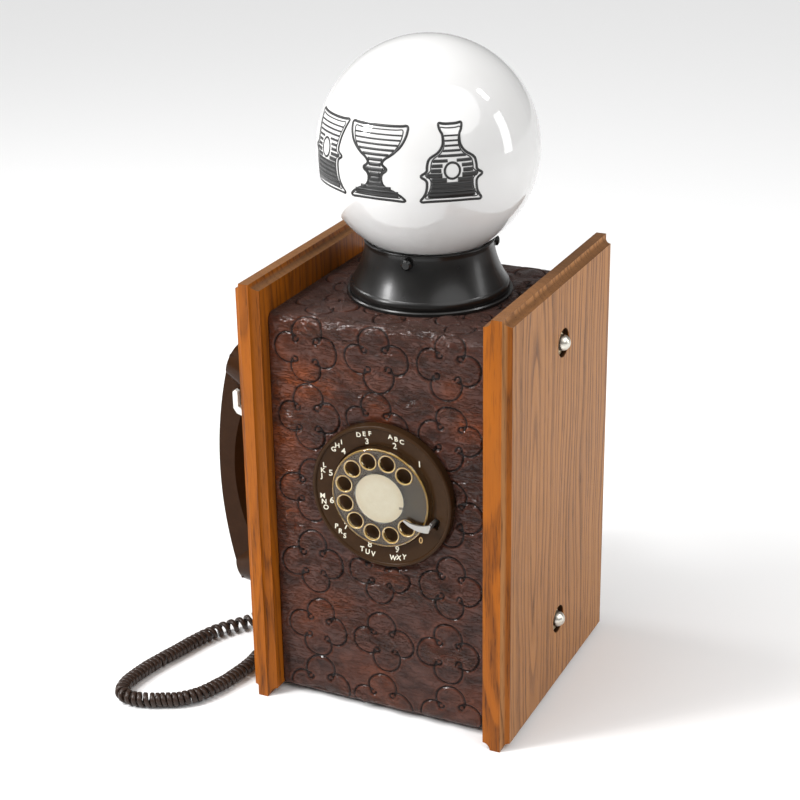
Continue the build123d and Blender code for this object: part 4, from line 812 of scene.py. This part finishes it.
def pressed(out, grid_x, dial_gap, bearing, lamp_gap, front, places, normals):
    """The relief where the dial, the lamp's flange and the cabinet's own sides hold the leather."""
    roll = np.exp(-((dial_gap - ROLL_R) / ROLL_HALF) ** 2)
    roll = roll * np.clip(1 - ((bearing - ROLL_BEARING) / ROLL_SPAN) ** 2, 0, 1) ** 0.5
    valley = VALLEY_DEPTH * np.exp(-((dial_gap - VALLEY_R) / VALLEY_HALF) ** 2)
    valley = valley * np.clip(1 - ((bearing - ROLL_BEARING) / VALLEY_SPAN) ** 2, 0, 1)
    out = np.where(front[:, None], out * (1 - 0.8 * roll) + ROLL_HEIGHT * roll - valley, out)
    under_dial = np.where(front[:, None], np.clip((SEAT_R - dial_gap) / SEAT_EDGE, 0, 1), 0)
    out = out * (1 - under_dial) - SEAT_DEPTH * under_dial
    side = np.clip((np.abs(grid_x) - (grid_x.max() - SIDE_EDGE)) / SIDE_EDGE, 0, 1)
    out = np.clip(out, -LEATHER_DEEP, LEATHER_PROUD)
    out = out * (1 - side) - SIDE_DEPTH * side ** 2
    over_top = np.clip((normals[:, 1:] - 0.9) / 0.1, 0, 1)
    flat_top = over_top * np.clip((FITTER_CLEAR - lamp_gap) / FITTER_EDGE, 0, 1)
    out = out * (1 - flat_top) - FITTER_DEPTH * flat_top
    behind = places[:, :1] > (BODY_HIGH.y - CAB_Y) / MM - EDGE_R
    out = out * np.where(normals[:, 1:] < -0.5, UNSEEN_RELIEF, 1)
    return out * np.where(behind, UNSEEN_RELIEF, 1)


def make_leather():
    places, normals, travel = leather_profile()
    half = (BODY_HIGH.x - BODY_LOW.x) / 2 / MM
    front = np.isclose(normals[:, 0], -1)
    top = np.isclose(normals[:, 1], 1)
    s = travel - (travel[front][0] - places[front][0][1])  # equals the height on the front
    grid_x, grid_s = np.meshgrid(np.linspace(-half, half, int(2 * half / STEP)), s)
    dial_x, dial_z = (PLATE.x - CAB_X) / MM, PLATE.z / MM
    dial_gap = np.hypot(grid_x - dial_x, grid_s - dial_z)
    bearing = np.degrees(np.arctan2(grid_s - dial_z, grid_x - dial_x))
    lamp_gap = np.hypot(grid_x, places[:, :1] - (GLOBE_CENTRE.y - CAB_Y) / MM)
    groove, puff = tooling(grid_x, grid_s)
    line = np.exp(-(groove / LINE_HALF) ** 2)
    lip = np.exp(-((groove - LIP_AT) / LIP_HALF) ** 2)
    creased, rubbed = wear(grid_x, grid_s)
    out, cut_in = free_relief(grid_x, grid_s, line, lip, puff, creased)
    out = pressed(out, grid_x, dial_gap, bearing, lamp_gap, front, places, normals)
    y = places[:, :1] + normals[:, :1] * out
    z = places[:, 1:] + normals[:, 1:] * out
    points = np.stack([CAB_X + grid_x * MM, CAB_Y + y * MM, z * MM], axis=2).reshape(-1, 3)
    rows, columns = grid_x.shape
    index = np.arange(rows * columns).reshape(rows, columns)
    faces = np.stack([index[:-1, :-1], index[:-1, 1:], index[1:, 1:], index[1:, :-1]], 2)
    holes = (front[:, None] & (dial_gap < DIAL_HOLE_R)) | (top[:, None] & (lamp_gap < LAMP_HOLE_R))
    cover = add_mesh("leather_skin", points, faces[~holes[:-1, :-1]].tolist(), leather_look())
    masks = {"groove": np.maximum(line, cut_in * 0.75), "crease": creased, "rub": rubbed, "groove_side": lip}
    for mask, values in masks.items():
        shade = cover.data.attributes.new(mask, "FLOAT", "POINT")
        shade.data.foreach_set("value", np.clip(values, 0, 1).ravel().astype(np.float32))
    loose = bmesh.new()
    loose.from_mesh(cover.data)
    bmesh.ops.delete(loose, geom=[v for v in loose.verts if not v.link_faces], context="VERTS")
    loose.to_mesh(cover.data)
    loose.free()
    thicken(cover, LEATHER_T * MM)
    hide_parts("leather_cover")
    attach(cover, "cabinet")


make_leather()

# ---- dial legends ----
LEGENDS = ("", "ABC", "DEF", "GHI", "JKL", "MNO", "PRS", "TUV", "WXY", "")
FIRST_DEG, STEP_DEG = 47.0, 30.0  # finger holes of the wheel
LEGEND_DEG, LETTER_SWING, DIGIT_R, LETTER_R = 45.3, 5.5, 42.2, 48.3  # bearings and radii, mm
DIGIT_SIZE, LETTER_SIZE, STROKE_SWELL = 6.7, 5.2, 0.11
INK_LIFT, INK_T = 0.05, 0.08  # mm the ink stands in front, and its thickness
WELL_R, RIM_R, WELL_Y, RIM_RISE = 39.4, 51.8, 11.4, 2.0  # the plate's legend ring, mm
HOLE_RING_R, LIP_R, LIP_WIRE, LIP_SINK = 28.7, 6.40, 0.65, 0.55
RIM_BEAD_R, RIM_WIRE, RIM_SINK = 37.3, 0.7, 0.9


def printed(name, fresh, worn):
    """Flat print, thin in places."""
    look = Look(name, fresh, 0.45)
    look.set("Base Color", look.mix(look.noise(look.place, 900.0), fresh, worn))
    return look


def ring_depth(radius):
    """Depth of the plate's legend ring, which rises from the well to the rim, in metres."""
    rise = np.clip((radius / MM - WELL_R) / (RIM_R - WELL_R), 0, 1)
    return CAB_Y + (WELL_Y - RIM_RISE * rise) * MM


def legend_mesh(name, marks, look):
    """Characters on the plate's legend ring: (character, radius, bearing, size), mm and degrees."""
    verts, faces = [], []
    for letter, radius, bearing, size in marks:
        text = bpy.data.curves.new("legend", "FONT")
        text.body, text.size, text.offset = letter, size * MM, STROKE_SWELL * MM
        text.align_x, text.align_y = "CENTER", "CENTER"
        text.resolution_u = 3
        holder = bpy.data.objects.new("legend", text)
        link(holder)
        bpy.context.view_layer.update()
        flat = bpy.data.meshes.new_from_object(holder)
        bpy.data.objects.remove(holder)
        angle = math.radians(bearing)
        start = len(verts)
        for vertex in flat.vertices:
            x = radius * MM * math.cos(angle) + vertex.co.x
            z = radius * MM * math.sin(angle) + vertex.co.y
            verts.append((PLATE.x + x, ring_depth(math.hypot(x, z)) - INK_LIFT * MM, PLATE.z + z))
        faces += [tuple(start + k for k in polygon.vertices) for polygon in flat.polygons]
    legends = add_mesh(name, verts, faces, look, smooth=False)
    thicken(legends, INK_T * MM)
    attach(legends, "cabinet")


def make_legends():
    marks = []
    for number in range(10):
        bearing = LEGEND_DEG + number * STEP_DEG
        digit = (str((number + 1) % 10), DIGIT_R, bearing, DIGIT_SIZE)
        if number < 9:
            marks.append(digit)
        clockwise = 1 if number < 5 else -1
        for slot, letter in enumerate(LEGENDS[number]):
            swing = clockwise * (1 - slot) * LETTER_SWING
            marks.append((letter, LETTER_R, bearing + swing, LETTER_SIZE))
    cream = printed("cream_ink", (0.84, 0.80, 0.67), (0.62, 0.57, 0.43))
    amber = printed("amber_ink", (0.72, 0.47, 0.17), (0.55, 0.31, 0.10))
    legend_mesh("dial_legends", marks, cream)
    legend_mesh("dial_zero", [digit], amber)


make_legends()


def rings(name, circles, wire, look, body, slot):
    """Thin round beads: (centre x, centre y, centre z, radius) in the plane of the dial."""
    points, faces = [], []
    around, section = 48, 8
    for cx, cy, cz, radius in circles:
        start = len(points)
        for k in range(around):
            a = 2 * math.pi * k / around
            for m in range(section):
                b = 2 * math.pi * m / section
                reach = radius + wire * math.cos(b)
                points.append((cx + reach * math.cos(a), cy + wire * math.sin(b), cz + reach * math.sin(a)))
        for k in range(around):
            for m in range(section):
                near, far = start + k * section, start + (k + 1) % around * section
                faces.append((near + m, far + m, far + (m + 1) % section, near + (m + 1) % section))
    piece = add_mesh(name, points, faces, look)
    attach(piece, body)


def make_wheel_beads():
    """Rolled lips round the finger holes and the wheel's rim, where the clear plastic looks amber."""
    amber = Look("amber_edge", (0.62, 0.36, 0.06), 0.10, Transmission_Weight=0.35, IOR=1.49,
                 Coat_Weight=0.5, Coat_Roughness=0.05)
    amber.set("Base Color", amber.mix(amber.noise(amber.place, 160.0, 3.0), (0.70, 0.48, 0.14),
                                      (0.42, 0.24, 0.05)))
    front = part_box("finger_wheel")[0].y
    holes = []
    for number in range(10):
        a = math.radians(FIRST_DEG + number * STEP_DEG)
        holes.append((PLATE.x + HOLE_RING_R * MM * math.cos(a), front + LIP_SINK * MM,
                      PLATE.z + HOLE_RING_R * MM * math.sin(a), LIP_R * MM))
    rings("finger_hole_lips", holes, LIP_WIRE * MM, amber, "dial_rotor", "clear_plastic")
    rim = (PLATE.x, front + RIM_SINK * MM, PLATE.z, RIM_BEAD_R * MM)
    rings("finger_wheel_rim", [rim], RIM_WIRE * MM, amber, "dial_rotor", "clear_plastic")


make_wheel_beads()

# ---- globe ornament ----
PICTURE_WIDE, PICTURE_RISE = 1.15, 7.5  # stretch of the outlines; mm above the globe's middle
INNER_WIDE, INNER_HIGH, LABEL_WIDE, LABEL_HIGH = 0.85, 0.90, 0.70, 0.74
OUTER_STROKE, INNER_STROKE, LABEL_STROKE, HATCH_LEAST = 1.8, 0.8, 1.6, 1.1  # mm
HATCH_INSET, STROKE_STEP = 0.4, 1.2
TRANSFER_LIFT, LAYER_LIFT = 0.10 * MM, 0.0006 * MM  # each stroke lies a hair over the one before
ink = Look("black_transfer", (0.012, 0.012, 0.012), 0.35)
ink.set("Roughness", ink.ramp(ink.noise(ink.place, 500.0), (0.3, 0.28), (0.7, 0.5)))


def on_globe(u, v, lift):
    """A point of the globe's skin: u and v are millimetres right and up from its front middle."""
    lon, lat = u * MM / GLOBE_R, v * MM / GLOBE_R
    out = Vector((math.sin(lon) * math.cos(lat), -math.cos(lon) * math.cos(lat), math.sin(lat)))
    return GLOBE_CENTRE + out * (GLOBE_R + lift)


def ribbon(points, width, closed=False):
    """Left and right edge points of a stroke, cut to short lengths."""
    line = list(points) + ([points[0]] if closed else [])
    fine = []
    for a, b in zip(line, line[1:]):
        count = max(1, int(math.dist(a, b) / STROKE_STEP))
        fine += [(a[0] + (b[0] - a[0]) * k / count, a[1] + (b[1] - a[1]) * k / count) for k in range(count)]
    if not closed:
        fine.append(line[-1])
    edges = []
    for k, (x, y) in enumerate(fine):
        before = fine[k - 1] if k or closed else fine[k]
        after = fine[(k + 1) % len(fine)] if k + 1 < len(fine) or closed else fine[k]
        dx, dy = after[0] - before[0], after[1] - before[1]
        size = math.hypot(dx, dy) or 1
        edges.append(((x - dy / size * width / 2, y + dx / size * width / 2),
                      (x + dy / size * width / 2, y - dx / size * width / 2)))
    return edges


def ellipse(cx, cy, rx, ry, count=28):
    return [(cx + rx * math.cos(2 * math.pi * k / count), cy + ry * math.sin(2 * math.pi * k / count))
            for k in range(count)]


def span(outline, height):
    """Where a level line crosses a closed outline, as (left, right)."""
    hits = []
    for (x0, y0), (x1, y1) in zip(outline, outline[1:] + outline[:1]):
        if (y0 - height) * (y1 - height) < 0:
            hits.append(x0 + (x1 - x0) * (height - y0) / (y1 - y0))
    return (min(hits), max(hits)) if len(hits) > 1 else None


def hatched(outline, levels, inset, gap):
    """Level hatch strokes inside an outline, left open over a gap."""
    strokes = []
    for height, width in levels:
        ends = span(outline, height)
        if not ends or ends[1] - ends[0] < 2 * inset + 0.8:
            continue
        left, right = ends[0] + inset, ends[1] - inset
        if gap and abs(height - gap[1]) < gap[3]:
            half = gap[2] * math.sqrt(1 - ((height - gap[1]) / gap[3]) ** 2)
            strokes.append(([(left, height), (gap[0] - half, height)], width, False))
            strokes.append(([(gap[0] + half, height), (right, height)], width, False))
        else:
            strokes.append(([(left, height), (right, height)], width, False))
    return [s for s in strokes if s[0][1][0] - s[0][0][0] > 1.0]


def rounded(outline, rounds=2):
    """The outline with its corners cut softly."""
    for _ in range(rounds):
        after = outline[1:] + outline[:1]
        outline = [p for a, b in zip(outline, after) for p in (
            (a[0] * 0.78 + b[0] * 0.22, a[1] * 0.78 + b[1] * 0.22),
            (a[0] * 0.22 + b[0] * 0.78, a[1] * 0.22 + b[1] * 0.78))]
    return outline


def mirrored(half):
    """A closed outline from its right half, listed from the top down."""
    return rounded(half + [(-x, y) for x, y in reversed(half)])


TUMBLER = mirrored([(14, 26), (20, 27), (18, 22), (15.5, 14), (14, 6), (14.5, 3), (18.5, 0.5), (14.5, -2),
                    (14, -6), (14.5, -14), (16, -20), (20, -26), (12, -25)])
COUPE = mirrored([(15, 26), (20.5, 27), (19.5, 20), (16.5, 13), (11, 7), (6, 3.5), (4.2, 0), (8.5, -3.5),
                  (4.2, -7), (4.2, -13), (8, -18), (15, -20.5), (20, -26), (10, -25)])
BOTTLE = mirrored([(4, 28), (8, 29), (7, 24), (5.2, 21), (5.2, 14), (8, 9), (14, 5), (15, 0), (15, -4),
                   (19.5, -7), (15, -10), (15, -15), (16, -20), (20, -26), (12, -25)])


def shading(top, bottom, count):
    """Hatch levels that thicken towards the bottom until they close up."""
    pitch = (top - bottom) / (count - 1)
    return [(top - pitch * k, HATCH_LEAST + 1.1 * pitch * (k / (count - 1)) ** 1.4) for k in range(count)]


# Pictures: (middle along the globe, outline, hatch levels, round label as x, y, half width, half height).
PICTURES = (
    (-53.5, TUMBLER, shading(20, -20, 13), (0, 3, 7.5, 9)),
    (-4.0, COUPE, shading(20, -21, 13), None),
    (50.0, BOTTLE, shading(20, -20, 13), (0, -3.5, 7.5, 7.5)),
)


def make_ornament():
    """Three hatched bar pictures round the globe's front: a tumbler, a stemmed glass and a bottle."""
    strokes = []
    for centre, outline, levels, label in PICTURES:
        outline = [(x * PICTURE_WIDE, y) for x, y in outline]
        inner = [(x * INNER_WIDE, y * INNER_HIGH) for x, y in outline]
        shape = [(outline, OUTER_STROKE, True), (inner, INNER_STROKE, True)]
        shape += hatched(inner, levels, HATCH_INSET, label)
        if label:
            x, y, wide, high = label
            shape.append((ellipse(x, y, wide * LABEL_WIDE, high * LABEL_HIGH), LABEL_STROKE, True))
        for points, width, closed in shape:
            strokes.append(([(centre + x, PICTURE_RISE + y) for x, y in points], width, closed))
    verts, faces = [], []
    for layer, (points, width, closed) in enumerate(strokes):
        edges = ribbon(points, width, closed)
        start, lift = len(verts), TRANSFER_LIFT + layer * LAYER_LIFT
        for left, right in edges:
            verts += [on_globe(*left, lift), on_globe(*right, lift)]
        count = len(edges)
        for k in range(count if closed else count - 1):
            a, b = start + 2 * k, start + 2 * ((k + 1) % count)
            faces.append((a, a + 1, b + 1, b))
    piece = add_mesh("globe_ornament", verts, faces, ink)
    thicken(piece, INK_T * MM)
    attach(piece, "cabinet")


make_ornament()
